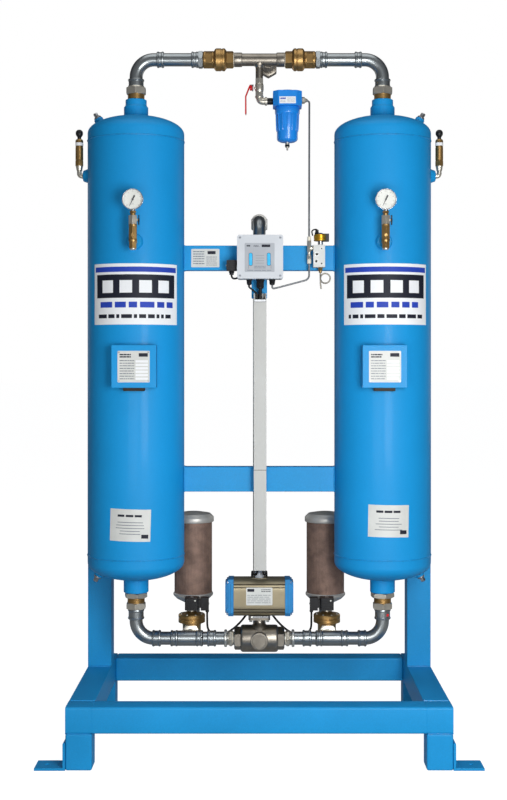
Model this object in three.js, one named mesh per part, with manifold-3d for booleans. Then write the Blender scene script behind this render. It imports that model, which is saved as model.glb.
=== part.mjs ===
// Twin-tower desiccant air dryer on a welded base frame.
// Millimetres, +Z up, front is -Y. The origin is the centre of the footprint on the floor.
import * as THREE from 'three';
import { mergeVertices } from 'three/addons/utils/BufferGeometryUtils.js';
import Module from 'manifold-3d';

const wasm = await Module();
wasm.setup();

// ---------------------------------------------------------------- driving dimensions
const GAP = 0.3;                 // air left between neighbouring pieces

const RAIL = 80;                 // square hollow section of the base frame
const RAIL_WALL = 4;
const VENT_R = 25;               // galvanising vent from each front leg into the front rail
const BASE_TOP = 190;            // top face of the base rails
const BASE_HALF = 581.5;         // half the width over the rails
const DEPTH_HALF = 360;          // half the depth of the base
const FOOT_TIP = 675;            // half the width over the foot plates
const FOOT_THICK = 8;
const ANCHOR_X = 640;            // anchor-bolt hole in each foot plate
const ANCHOR_R = 7;

const TOWER_X = 397;             // tower axes
const TOWER_Y = -60;
const TOWER_R = 155;
const TOWER_WALL = 5;
const HEAD_LOW = 581;            // lower and upper ends of the straight shell
const HEAD_HIGH = 1956;
const HEAD_RISE = 58;            // height of each dished head
const NOZZLE_R = 39;
const NOZZLE_LOW = 482;          // mouths of the bottom and top nozzles
const NOZZLE_HIGH = 2067;
const TOWER_SIDES = 24;

const PIPE_R = 21;               // 42 mm press-fit pipe
const PIPE_BORE = 18;
const BEND_R = 57;
const TOP_Z = 2197;              // centre line of the top manifold
const LOW_Z = 333;               // centre line of the bottom manifold
const PIPE_SIDES = 10;
const BORE_SIDES = 6;

const BEAM_FRONT = -80;          // crossbeams between the towers
const BEAM_BACK = -40;
const BEAM_UPPER = 1517;         // underside of each crossbeam
const BEAM_LOWER = 807;

const UPRIGHT_Y = [160, 240];
const UPRIGHT_TOP = 1600;
const ARM_LEVELS = [760, 1500];  // underside of the stub arms that hold the towers
const ARM_X = [501.5, 551.5];

const ACTUATOR_Z = 469.5;        // axis of the two pistons
const ACTUATOR_HALF = 82;        // half the length of the grooved body
const CYLINDER_R = 36;
const PITCH_R = 14;              // pinion pitch radius: a quarter turn moves a rack 22 mm
const TEETH = 14;
const TOOTH_PITCH = (2 * Math.PI * PITCH_R) / TEETH;

const EXHAUST_X = 223;           // purge exhaust valves and silencers
const EXHAUST_Y = 45;
const SILENCER_Y = 140;
const RISER_Y = 60;              // inlet riser behind the crossbeams
const INLET_Z = 1692;
const INLET_END = 205;
const OUTLET_END = 80;

const GAUGE_X = 387;
const GAUGE_Y = -270;
const GAUGE_Z = 1721;
const GAUGE_R = 33;
const COCK_Z = 1658.5;
const GAUGE_BOSS_Z = 1597;       // boss on the shell that the gauge cock screws into
const BOSS_RISE = 14;
const NEEDLE_REST = 205;         // degrees clockwise from straight up

const RELIEF_X = 580;
const RELIEF_Z = 1822;
const BOSS_TIP = 567;            // outer end of the relief valve's boss

const FILTER_X = 90.3;
const BRANCH_X = 0;
const LEVER_Z = 2106;
const TUBE_X = 159;
const TEE_LOW = 1537;            // ends of the union tee on the pilot tube
const TEE_TOP = 1624;
const PANEL_Y = -100;            // plane of the pilot tube and the solenoid valve
const BACK_PLATE = -84.7;        // front of the tabs that carry the box and the trunking
const BOX_FRONT = -150;
const GLAND_X = 41;              // gland that takes the signal tube
const GLAND_Y = -115;
const GLAND_LOW = 1468;

const COLOURS = {
  paint: [0x2a90d0, 0.35, 0.1], steel: [0xb8bcc0, 0.3, 0.9], stainless: [0xa9a49c, 0.35, 0.9],
  brass: [0xb08a4a, 0.35, 0.9], nickel: [0xc9c4b6, 0.3, 0.9], bronze: [0x9c927a, 0.4, 0.7],
  black: [0x15161a, 0.5, 0.0], red: [0xb51a1c, 0.4, 0.0], capBlue: [0x2a7fae, 0.4, 0.1],
  filterBlue: [0x1e82e6, 0.35, 0.1], silencer: [0x6b4a40, 0.8, 0.2], plate: [0xe2e4ea, 0.45, 0.0],
  trunk: [0xd2d2ce, 0.5, 0.0], bead: [0xe9e4d8, 0.9, 0.0], board: [0x1f6b3a, 0.6, 0.0],
  paper: [0xf0f0ec, 0.7, 0.0], cable: [0x1b1b1d, 0.6, 0.0], tube: [0x55585c, 0.45, 0.3],
};

// ---------------------------------------------------------------- solids
function toManifold(geometry) {
  const bare = geometry.index ? geometry.toNonIndexed() : geometry.clone();
  bare.deleteAttribute('normal');
  bare.deleteAttribute('uv');
  const merged = mergeVertices(bare, 1e-4);
  const position = merged.attributes.position.array;
  const index = merged.index.array;
  const corner = [0, 1, 2].map(() => new THREE.Vector3());
  const kept = [];
  let volume = 0;
  for (let i = 0; i < index.length; i += 3) {
    const face = [index[i], index[i + 1], index[i + 2]];
    if (new Set(face).size < 3) continue;
    face.forEach((v, k) => corner[k].fromArray(position, 3 * v));
    volume += corner[0].dot(corner[1].clone().cross(corner[2]));
    kept.push(...face);
  }
  if (volume < 0) {
    for (let i = 0; i < kept.length; i += 3) {
      [kept[i + 1], kept[i + 2]] = [kept[i + 2], kept[i + 1]];
    }
  }
  const mesh = new wasm.Mesh({
    numProp: 3, vertProperties: Float32Array.from(position), triVerts: Uint32Array.from(kept),
  });
  mesh.merge();
  return new wasm.Manifold(mesh);
}

function toGeometry(manifold) {
  const mesh = manifold.getMesh();
  const geometry = new THREE.BufferGeometry();
  geometry.setAttribute('position', new THREE.BufferAttribute(Float32Array.from(mesh.vertProperties), 3));
  geometry.setIndex(new THREE.BufferAttribute(Uint32Array.from(mesh.triVerts), 1));
  geometry.computeVertexNormals();
  return geometry;
}

const join = (...pieces) => pieces.reduce((sum, piece) => sum.add(piece));
const cut = (body, ...tools) => tools.reduce((left, tool) => left.subtract(tool), body);

// A box between two corners, given in any order along each axis.
function block(x0, x1, y0, y1, z0, z1) {
  const box = new THREE.BoxGeometry(Math.abs(x1 - x0), Math.abs(y1 - y0), Math.abs(z1 - z0));
  box.translate((x0 + x1) / 2, (y0 + y1) / 2, (z0 + z1) / 2);
  return toManifold(box);
}

// Turns a shape drawn around +Y so that its axis lies along x, y or z.
function aim(geometry, axis) {
  if (axis === 'x') geometry.rotateZ(-Math.PI / 2);
  if (axis === 'z') geometry.rotateX(Math.PI / 2);
  return geometry;
}

// A round or many-sided bar along one axis between two stations; centre holds the other two places.
function bar(axis, centre, from, to, radius, sides = 10, turn = 0, radiusTo = radius) {
  const low = Math.min(from, to);
  const high = Math.max(from, to);
  const [rLow, rHigh] = from < to ? [radius, radiusTo] : [radiusTo, radius];
  const rod = new THREE.CylinderGeometry(rHigh, rLow, high - low, sides);
  rod.rotateY(turn);
  aim(rod, axis);
  const middle = (low + high) / 2;
  const [a, b] = centre;
  const place = { x: [middle, a, b], y: [a, middle, b], z: [a, b, middle] }[axis];
  rod.translate(...place);
  return toManifold(rod);
}

// A hexagonal bar by its width across flats.
const hex = (axis, centre, from, to, flats) => bar(axis, centre, from, to, flats / Math.sqrt(3), 6);

// A turned piece about a vertical axis from [radius, height] pairs.
function turned(x, y, profile, sides = 12) {
  const lathe = new THREE.LatheGeometry(profile.map(([r, z]) => new THREE.Vector2(r, z)), sides);
  lathe.rotateX(Math.PI / 2);
  lathe.translate(x, y, 0);
  return toManifold(lathe);
}

// A route that a section follows through its own stations, so straight runs need no steps.
class Route extends THREE.Curve {
  constructor(stations) {
    super();
    this.stations = stations;
  }

  getPoint(t) {
    return this.stations[Math.round(t * (this.stations.length - 1))].clone();
  }

  getPointAt(u) {
    return this.getPoint(u);
  }

  getSpacedPoints() {
    return this.stations.map((station) => station.clone());
  }

  getTangent(t) {
    const i = Math.round(t * (this.stations.length - 1));
    const before = this.stations[Math.max(i - 1, 0)];
    const after = this.stations[Math.min(i + 1, this.stations.length - 1)];
    const into = this.stations[i].clone().sub(before).normalize();
    const out = after.clone().sub(this.stations[i]).normalize();
    return into.add(out).normalize();
  }

  getTangentAt(u) {
    return this.getTangent(u);
  }
}

// Stations along straight legs through the corners, with each corner rounded by an arc.
function rounded(corners, radius, steps = 4) {
  const points = corners.map((corner) => new THREE.Vector3(...corner));
  const stations = [points[0]];
  for (let i = 1; i < points.length - 1; i += 1) {
    const into = points[i].clone().sub(points[i - 1]).normalize();
    const out = points[i + 1].clone().sub(points[i]).normalize();
    const turn = into.angleTo(out);
    const back = radius * Math.tan(turn / 2);
    const start = points[i].clone().addScaledVector(into, -back);
    const side = out.clone().addScaledVector(into, -out.dot(into)).normalize();
    for (let k = 0; k <= steps; k += 1) {
      const a = (turn * k) / steps;
      stations.push(start.clone().addScaledVector(into, radius * Math.sin(a))
        .addScaledVector(side, radius * (1 - Math.cos(a))));
    }
  }
  stations.push(points[points.length - 1]);
  return stations;
}

function circle(radius, sides) {
  const outline = new THREE.Shape();
  for (let i = 0; i < sides; i += 1) {
    const a = (2 * Math.PI * (i + 0.5)) / sides;
    const [x, y] = [radius * Math.cos(a), radius * Math.sin(a)];
    if (i === 0) outline.moveTo(x, y);
    else outline.lineTo(x, y);
  }
  outline.closePath();
  return outline;
}

// A round section swept along stations.
function sweep(stations, radius, sides = PIPE_SIDES) {
  return toManifold(new THREE.ExtrudeGeometry(circle(radius, sides), {
    steps: stations.length - 1, extrudePath: new Route(stations),
  }));
}

// A smooth cable through hand-placed points.
function cable(points, radius, steps, sides = 8) {
  const curve = new THREE.CatmullRomCurve3(points.map((p) => new THREE.Vector3(...p)));
  return sweep(curve.getSpacedPoints(steps), radius, sides);
}

// A flat outline of [across, up] pairs pushed along x or y between two stations.
function prism(axis, outline, from, to) {
  const shape = new THREE.Shape(outline.map(([a, b]) => new THREE.Vector2(a, b)));
  const solid = new THREE.ExtrudeGeometry(shape, { depth: Math.abs(to - from), bevelEnabled: false });
  if (axis === 'x') {
    solid.rotateX(Math.PI / 2);
    solid.rotateZ(Math.PI / 2);
  } else if (axis === 'y') {
    solid.rotateX(Math.PI / 2);
    solid.translate(0, Math.max(from, to), 0);
    return toManifold(solid);
  }
  solid.translate(axis === 'x' ? Math.min(from, to) : 0, 0, axis === 'z' ? Math.min(from, to) : 0);
  return toManifold(solid);
}

const dryer = new THREE.Group();

function part(name, colour, solid) {
  const [color, roughness, metalness] = COLOURS[colour];
  const material = new THREE.MeshStandardMaterial({ color, roughness, metalness });
  const mesh = new THREE.Mesh(toGeometry(solid), material);
  mesh.name = name;
  dryer.add(mesh);
}

const SIDES = [['left', -1], ['right', 1]];

// ---------------------------------------------------------------- base frame
function frontBeam() {
  const [y0, y1] = [-DEPTH_HALF, -DEPTH_HALF + RAIL];
  const z0 = BASE_TOP - RAIL;
  const w = RAIL_WALL;
  const legX = BASE_HALF - RAIL / 2;
  const vents = SIDES.map(([, s]) => bar('z', [s * legX, (y0 + y1) / 2], z0 - 1, z0 + 10, VENT_R));
  return cut(
    block(-BASE_HALF, BASE_HALF, y0, y1, z0, BASE_TOP),
    block(-BASE_HALF + w, BASE_HALF - w, y0 + w, y1 - w, z0 + w, BASE_TOP - w),
    ...vents,
  );
}

function rearBeam() {
  const half = BASE_HALF - RAIL - GAP;
  const [y0, y1] = [DEPTH_HALF - RAIL, DEPTH_HALF];
  const z0 = BASE_TOP - RAIL;
  const w = RAIL_WALL;
  return cut(
    block(-half, half, y0, y1, z0, BASE_TOP),
    block(-half - 1, half + 1, y0 + w, y1 - w, z0 + w, BASE_TOP - w),
  );
}

const towerRound = (s, radius) => bar('z', [s * TOWER_X, TOWER_Y], 400, 2100, radius, TOWER_SIDES);

// A side rail with the upright that stands on it and the stub arms that reach the tower.
function sideFrame(s) {
  const [inner, outer] = [s * (BASE_HALF - RAIL), s * BASE_HALF];
  const front = -DEPTH_HALF + RAIL + GAP;
  const z0 = BASE_TOP - RAIL;
  const w = RAIL_WALL;
  const [postFront, postBack] = UPRIGHT_Y;
  const [armInner, armOuter] = ARM_X;
  const arms = ARM_LEVELS.map((z) => cut(
    block(s * armInner, s * armOuter, -20, postFront + 2, z, z + RAIL),
    block(s * (armInner + w), s * (armOuter - w), -30, postFront + 1, z + w, z + RAIL - w),
    towerRound(s, TOWER_R + GAP),
  ));
  const outside = join(
    block(inner, outer, front, DEPTH_HALF, z0, BASE_TOP),
    block(inner, outer, postFront, postBack, BASE_TOP - 1, UPRIGHT_TOP),
  );
  const hollow = join(
    block(inner + s * w, outer - s * w, front - 1, DEPTH_HALF - w, z0 + w, BASE_TOP - w),
    block(inner + s * w, outer - s * w, postFront + w, postBack - w, BASE_TOP - 2 * w, UPRIGHT_TOP - w),
  );
  return cut(join(outside, ...arms), hollow);
}

// A hollow leg with an angle iron welded outside it and drilled for one anchor bolt.
function foot(s, end) {
  const [inner, outer] = [s * (BASE_HALF - RAIL), s * BASE_HALF];
  const [y0, y1] = [end * (DEPTH_HALF - RAIL), end * DEPTH_HALF];
  const top = BASE_TOP - RAIL - GAP;
  const w = RAIL_WALL;
  const body = join(
    block(inner, outer, y0, y1, 0, top),
    block(outer - s, outer + s * FOOT_THICK, y0, y1, 0, RAIL),
    block(outer - s, s * FOOT_TIP, y0, y1, 0, FOOT_THICK),
  );
  return cut(
    body,
    block(inner + s * w, outer - s * w, y0 + end * w, y1 - end * w, w, top + 1),
    bar('z', [s * ANCHOR_X, (y0 + y1) / 2], -1, FOOT_THICK + 1, ANCHOR_R, 12),
  );
}

// ---------------------------------------------------------------- towers
// Radius and height pairs of one dished head, from the nozzle out to the shell.
function headCurve(radius, rise, level, up, innerRadius, steps = 4) {
  const points = [];
  for (let i = 0; i <= steps; i += 1) {
    const a = (Math.PI / 2) * (i / steps);
    const r = Math.max(radius * Math.sin(a), innerRadius);
    points.push([r, level + up * rise * Math.sqrt(1 - (r / radius) ** 2)]);
  }
  return points.filter((p, i) => i === 0 || p[0] > points[i - 1][0]);
}

function towerShell(s) {
  const inR = TOWER_R - TOWER_WALL;
  const inRise = HEAD_RISE - TOWER_WALL;
  const outside = [
    [PIPE_BORE, NOZZLE_LOW], [NOZZLE_R + 1, NOZZLE_LOW],
    ...headCurve(TOWER_R, HEAD_RISE, HEAD_LOW, -1, NOZZLE_R + 1),
    ...headCurve(TOWER_R, HEAD_RISE, HEAD_HIGH, 1, NOZZLE_R).reverse(),
    [NOZZLE_R, NOZZLE_HIGH - 24], [NOZZLE_R - 5, NOZZLE_HIGH - 18], [NOZZLE_R - 5, NOZZLE_HIGH],
    [PIPE_BORE, NOZZLE_HIGH],
  ];
  const inside = [
    ...headCurve(inR, inRise, HEAD_HIGH, 1, PIPE_BORE, 3),
    ...headCurve(inR, inRise, HEAD_LOW, -1, PIPE_BORE, 3).reverse(),
    [PIPE_BORE, NOZZLE_LOW],
  ];
  return turned(s * TOWER_X, TOWER_Y, [...outside, ...inside], TOWER_SIDES);
}

// A plugged boss that stands on a head, leaning outwards.
function headBoss(s, up) {
  const boss = new THREE.CylinderGeometry(15, 15, 40, 10);
  const plug = new THREE.CylinderGeometry(11, 11, 22, 6);
  plug.translate(0, 28, 0);
  return join(...[boss, plug].map((piece) => {
    aim(piece, 'z');
    if (up < 0) piece.rotateX(Math.PI);
    piece.rotateY(s * up * (Math.PI / 6));
    piece.translate(s * (TOWER_X + 113), TOWER_Y, up > 0 ? 1990 : 551);
    return toManifold(piece);
  }));
}

// A channel-shaped stand that holds the rating plate off the shell.
function plateStand(s) {
  const x = s * GAUGE_X;
  const [half, front, back] = [69, -248, -198];
  return cut(
    block(x - half, x + half, front, back, 1144, 1276),
    block(x - half + 3, x + half - 3, front + 3, back + 20, 1100, 1300),
  );
}

function tower(s) {
  const shellFront = TOWER_Y - TOWER_R;
  const hollow = turned(s * TOWER_X, TOWER_Y, [
    [0, HEAD_LOW], [TOWER_R - TOWER_WALL, HEAD_LOW], [TOWER_R - TOWER_WALL, HEAD_HIGH], [0, HEAD_HIGH],
  ], TOWER_SIDES);
  const fittings = cut(join(
    bar('x', [TOWER_Y, RELIEF_Z], s * (TOWER_X + 140), s * BOSS_TIP, 26, 12, 0, 18),
    bar('y', [s * 392, GAUGE_BOSS_Z], shellFront + 20, shellFront - BOSS_RISE, 28, 12, 0, 23),
    plateStand(s),
  ), hollow);
  const bosses = cut(join(headBoss(s, 1), headBoss(s, -1)), turned(s * TOWER_X, TOWER_Y, [
    [0, HEAD_LOW - 50],
    ...headCurve(TOWER_R - 4, HEAD_RISE - 4, HEAD_LOW, -1, 1, 3),
    ...headCurve(TOWER_R - 4, HEAD_RISE - 4, HEAD_HIGH, 1, 1, 3).reverse(),
    [0, HEAD_HIGH + 50],
  ], TOWER_SIDES));
  return join(towerShell(s), fittings, bosses);
}

const bed = (s) => bar('z', [s * TOWER_X, TOWER_Y], 600, 1936, TOWER_R - TOWER_WALL - 3, 20);

// A crossbeam coped to the round shells, with a tab in front for the control gear and a saddle
// behind that holds the inlet riser.
function crossbeam(z, tabLow, tabHigh) {
  const w = RAIL_WALL;
  const beam = cut(
    block(-270, 270, BEAM_FRONT, BEAM_BACK, z, z + RAIL),
    block(-271, 271, BEAM_FRONT + w, BEAM_BACK - w, z + w, z + RAIL - w),
    towerRound(-1, TOWER_R + GAP),
    towerRound(1, TOWER_R + GAP),
  );
  const saddle = cut(
    block(-24, 24, BEAM_BACK - 2, RISER_Y, z + 20, z + 60),
    bar('z', [0, RISER_Y], z, z + RAIL, PIPE_R + 2, PIPE_SIDES),
  );
  return join(beam, saddle, block(-25, 25, BACK_PLATE, BEAM_FRONT + 2, tabLow, tabHigh));
}

// ---------------------------------------------------------------- top piping
// Route from a nozzle on a tower's axis round one bend and along a manifold at level z.
const quarterBend = (x, from, to, z) => rounded(
  [[x, TOWER_Y, from], [x, TOWER_Y, z], [to, TOWER_Y, z]],
  BEND_R,
);

// Threaded union, press-fit elbow, pipe and adapter from a tower to its check valve.
function topElbow(s) {
  const x = s * TOWER_X;
  const end = s * (181 + GAP);
  const route = (from, to) => quarterBend(x, from, to, TOP_Z);
  const axis = [TOWER_Y, TOP_Z];
  const outside = join(
    sweep(route(NOZZLE_HIGH + 10, end), PIPE_R),
    bar('z', [x, TOWER_Y], NOZZLE_HIGH + GAP, 2087, 27),
    hex('z', [x, TOWER_Y], 2084, 2107, 62),
    bar('z', [x, TOWER_Y], 2105, 2134, 26.5),
    bar('x', axis, s * 307, s * 330, 25),
    bar('x', axis, s * 196, s * 219, 25),
    hex('x', axis, end, s * 197, 52),
  );
  return cut(outside, sweep(route(NOZZLE_HIGH - 5, end - s * 5), PIPE_BORE, BORE_SIDES));
}

function checkValve(s) {
  const axis = [TOWER_Y, TOP_Z];
  return cut(
    join(
      hex('x', axis, s * 181, s * 143, 50),
      bar('x', axis, s * 146, s * 106, 36.5, 12),
      hex('x', axis, s * 109, s * 81, 50),
    ),
    bar('x', axis, s * 182, s * 80, 15, BORE_SIDES),
  );
}

// The pipe that collects dry air, with the outlet socket behind and the pilot branch below.
function outletManifold() {
  const axis = [TOWER_Y, TOP_Z];
  const half = 81 - GAP;
  return cut(
    join(
      bar('x', axis, -half, half, 20),
      bar('x', axis, -half, -half + 25, 23),
      bar('x', axis, half - 25, half, 23),
      bar('y', [30, TOP_Z], TOWER_Y, OUTLET_END - 30, 20),
      hex('y', [30, TOP_Z], OUTLET_END - 32, OUTLET_END, 55),
      bar('z', [BRANCH_X, TOWER_Y], TOP_Z - 20, 2137, 12),
      bar('z', [BRANCH_X, TOWER_Y], TOP_Z - 12, TOP_Z - 27, 17, 12, 0, 12),
    ),
    bar('x', axis, -half - 1, half + 1, 16, BORE_SIDES),
    bar('y', [30, TOP_Z], TOWER_Y, OUTLET_END + 1, 16, BORE_SIDES),
  );
}

// ---------------------------------------------------------------- pilot air
// Small ball valve with the elbow and nipple that lead on to the filter.
function pilotBallValve() {
  const axis = [BRANCH_X, TOWER_Y];
  const low = 2063;
  const corners = [[BRANCH_X, TOWER_Y, 2078], [BRANCH_X, TOWER_Y, low], [30, TOWER_Y, low]];
  return join(
    hex('z', axis, 2137 - GAP, 2120, 25),
    bar('z', axis, 2121, 2092, 12.5),
    hex('z', axis, 2093, 2076, 25),
    bar('x', [TOWER_Y, LEVER_Z], 0, -17, 6),
    sweep(rounded(corners, 10, 3), 11),
    bar('x', [TOWER_Y, low], 16, FILTER_X - 46.3 - GAP, 12.5),
  );
}

// Lever: a hub on the stem, a sloping shank and a straight flat blade.
function pilotLever() {
  const outline = [
    [-18, LEVER_Z + 10], [-30, LEVER_Z + 10], [-34, LEVER_Z + 2], [-46, LEVER_Z - 28], [-46, 2020],
    [-42, 2020], [-42, LEVER_Z - 26], [-30, LEVER_Z - 8], [-18, LEVER_Z - 8],
  ];
  return prism('y', outline, TOWER_Y - 9, TOWER_Y + 9);
}

// Filter head: a square block with wide chamfers, a cap on top and a port on each side.
function filterHead() {
  const [half, chamfer] = [46.3, 17];
  const near = half - chamfer;
  const outline = [
    [near, half], [-near, half], [-half, near], [-half, -near],
    [-near, -half], [near, -half], [half, -near], [half, near],
  ].map(([x, y]) => [FILTER_X + x, TOWER_Y + y]);
  return join(
    prism('z', outline, 2043, 2091),
    bar('z', [FILTER_X, TOWER_Y], 2090, 2095, 33, 12),
  );
}

function filterBowl() {
  return turned(FILTER_X, TOWER_Y, [
    [32, 2043 - GAP], [40, 2043 - GAP], [40, 2022], [38.5, 2020], [37, 1970], [34.5, 1966], [34.5, 1940],
    [26, 1932], [7, 1930], [7, 1914], [3, 1914], [3, 1905], [0, 1905],
    [0, 1942], [30, 1942], [32, 1948], [32, 2043 - GAP],
  ], 16);
}

function filterElement() {
  return turned(FILTER_X, TOWER_Y, [
    [14, 2043 - 2 * GAP], [24, 2043 - 2 * GAP], [24, 1956], [0, 1956], [0, 1962], [14, 1962],
    [14, 2043 - 2 * GAP],
  ]);
}

function pilotTube() {
  const start = FILTER_X + 46.3 + GAP;
  const z = 2066;
  const bend = [
    [start + 10, TOWER_Y, z], [TUBE_X + 2, TOWER_Y, z - 3],
    [TUBE_X, PANEL_Y, 1700], [TUBE_X, PANEL_Y, TEE_TOP],
  ];
  return join(
    hex('x', [TOWER_Y, z], start, start + 10, 20),
    bar('x', [TOWER_Y, z], start + 9, start + 19, 8, 10, 0, 4),
    sweep(rounded(bend, 6, 3), 3, 8),
  );
}

// ---------------------------------------------------------------- bottom piping
// Union, elbow, exhaust tee and adapter from a tower down to the switching valve.
function bottomElbow(s) {
  const x = s * TOWER_X;
  const end = s * (81 + GAP);
  const axis = [TOWER_Y, LOW_Z];
  const route = (from, to) => quarterBend(x, from, to, LOW_Z);
  const outside = join(
    sweep(route(NOZZLE_LOW - 10, end), PIPE_R),
    hex('z', [x, TOWER_Y], NOZZLE_LOW - GAP, 465, 70),
    bar('z', [x, TOWER_Y], 466, 448, 27),
    hex('z', [x, TOWER_Y], 449, 428, 60),
    bar('z', [x, TOWER_Y], 429, 395, 26),
    bar('x', axis, s * 345, s * 317, 26),
    bar('x', axis, s * 286, s * 182, 25),
    bar('x', axis, s * 168, s * 139, 26),
    bar('x', axis, s * 118, s * 104, 30),
    bar('y', [s * EXHAUST_X, LOW_Z], TOWER_Y, -28, 24),
    hex('y', [s * EXHAUST_X, LOW_Z], -29, EXHAUST_Y - 55 - GAP, 52),
  );
  return cut(
    outside,
    sweep(route(NOZZLE_LOW + 5, end - s * 5), PIPE_BORE, BORE_SIDES),
    bar('y', [s * EXHAUST_X, LOW_Z], TOWER_Y, EXHAUST_Y - 50, 13, BORE_SIDES),
  );
}

const sphere = (radius, across, down) => {
  const ball = new THREE.SphereGeometry(radius, across, down);
  ball.rotateX(Math.PI / 2);
  ball.translate(0, TOWER_Y, LOW_Z);
  return toManifold(ball);
};

// Three-way valve body with its rear inlet port and the pad that carries the actuator.
function switchingValve() {
  const axis = [TOWER_Y, LOW_Z];
  return cut(
    join(
      bar('x', axis, -60, 60, 43.5, 16),
      hex('x', axis, -81, -58, 66),
      hex('x', axis, 58, 81, 66),
      bar('y', [0, LOW_Z], TOWER_Y, TOWER_Y - 53, 28, 16),
      bar('y', [0, LOW_Z], TOWER_Y, 0, 27, 12),
      bar('z', [0, TOWER_Y], LOW_Z, 400, 24, 12),
      block(-35, 35, TOWER_Y - 35, TOWER_Y + 35, 397, 411 - GAP),
    ),
    sphere(30, 12, 8),
    bar('x', axis, -82, 82, 16, BORE_SIDES),
    bar('y', [0, LOW_Z], TOWER_Y, 1, 16, BORE_SIDES),
    bar('z', [0, TOWER_Y], LOW_Z, 412, 9, 12),
  );
}

// Ball with an L-shaped way through it, and the square-topped stem that turns it.
function valveBall() {
  const axis = [TOWER_Y, LOW_Z];
  return cut(
    join(
      sphere(28, 12, 8),
      bar('z', [0, TOWER_Y], LOW_Z + 20, 411, 8, 12),
      block(-5, 5, TOWER_Y - 5, TOWER_Y + 5, 410, 424),
    ),
    bar('x', axis, 0, 30, 15, BORE_SIDES),
    bar('y', [0, LOW_Z], TOWER_Y, TOWER_Y + 30, 15, BORE_SIDES),
  );
}

// ---------------------------------------------------------------- actuator
function actuatorBody() {
  const [half, low, high, chamfer] = [50, 411, 528, 9];
  const outline = [
    [half - chamfer, low], [half, low + chamfer], [half, high - chamfer], [half - chamfer, high],
    [-half + chamfer, high], [-half, high - chamfer], [-half, low + chamfer], [-half + chamfer, low],
  ].map(([y, z]) => [TOWER_Y + y, z]);
  return cut(
    prism('x', outline, -ACTUATOR_HALF, ACTUATOR_HALF),
    bar('x', [TOWER_Y, ACTUATOR_Z], -ACTUATOR_HALF - 1, ACTUATOR_HALF + 1, CYLINDER_R, 16),
    bar('z', [0, TOWER_Y], 480, 530, 11.5, 16),
    bar('z', [0, TOWER_Y], 410, 460, 17.5, 16),
  );
}

function actuatorCap(s) {
  const start = ACTUATOR_HALF + GAP;
  const [low, high] = [411, 528];
  const plate = (inset, from, to) => {
    const c = 12;
    const [y, z0, z1] = [50 - inset, low + inset, high - inset];
    const outline = [
      [y - c, z0], [y, z0 + c], [y, z1 - c], [y - c, z1],
      [-y + c, z1], [-y, z1 - c], [-y, z0 + c], [-y + c, z0],
    ].map(([a, b]) => [TOWER_Y + a, b]);
    return prism('x', outline, s * from, s * to);
  };
  return join(plate(0, start, 100), plate(4, 99, 105), plate(9, 104, 109));
}

// Pinion teeth as a closed outline of straight flanks.
function toothOutline() {
  const [root, tip] = [PITCH_R - 2.1, PITCH_R + 1.5];
  const points = [];
  for (let i = 0; i < TEETH; i += 1) {
    const middle = (2 * Math.PI * i) / TEETH + Math.PI / 2;
    for (const [r, half] of [[root, 1.75], [tip, 0.8], [tip, -0.8], [root, -1.75]]) {
      const a = middle - half / r;
      points.push([r * Math.cos(a), TOWER_Y + r * Math.sin(a)]);
    }
  }
  return points;
}

// Toothed shaft with a position dome above the body.
function actuatorPinion() {
  return cut(
    join(
      bar('z', [0, TOWER_Y], 411 + GAP, 436, 16.8, 16),
      prism('z', toothOutline(), 435, 490),
      bar('z', [0, TOWER_Y], 488, 530, 10.8, 16),
      turned(0, TOWER_Y, [[0, 529], [15, 529], [15, 541], [11, 548], [0, 550.5]], 12),
    ),
    block(-5.5, 5.5, TOWER_Y - 5.5, TOWER_Y + 5.5, 400, 426),
  );
}

// Piston disc with a rack that passes one side of the pinion: front for the right, rear for the left.
function piston(s) {
  const face = TOWER_Y - s * (PITCH_R + 2.4);
  const back = face - s * 9;
  const outline = [[s * TOOTH_PITCH * -4.5, back]];
  for (let i = -4; i <= 5; i += 1) {
    const middle = (i + 0.5) * TOOTH_PITCH;
    for (const [along, reach] of [[-1.5, 0], [-0.6, 3.6], [0.6, 3.6], [1.5, 0]]) {
      outline.push([s * (middle + along), face + s * reach]);
    }
  }
  outline.push([s * 42, face], [s * 42, back]);
  return join(
    prism('z', outline, 458, 481),
    bar('x', [TOWER_Y, ACTUATOR_Z], s * 40, s * 54, CYLINDER_R - 0.8, 16),
  );
}

// ---------------------------------------------------------------- purge exhaust
// Diaphragm valve with a round bonnet, a core tube, its coil and the plug on the coil.
function exhaustValve(s) {
  const x = s * EXHAUST_X;
  const at = [x, EXHAUST_Y];
  return cut(
    join(
      bar('y', [x, LOW_Z], EXHAUST_Y - 55, EXHAUST_Y + 45, 27, 12),
      bar('z', at, LOW_Z, 366, 30, 12),
      bar('z', at, 364, 392, 44, 16),
      bar('z', at, 390, 408, 8, 10),
      block(x - 22, x + 22, EXHAUST_Y - 22, EXHAUST_Y + 22, 405, 447),
      block(x - s * 20, x - s * 32, EXHAUST_Y - 10, EXHAUST_Y + 10, 412, 440),
      block(x - s * 30, x - s * 56, EXHAUST_Y - 14, EXHAUST_Y + 14, 404, 446),
    ),
    bar('y', [x, LOW_Z], EXHAUST_Y - 56, EXHAUST_Y + 46, 13, BORE_SIDES),
  );
}

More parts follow.
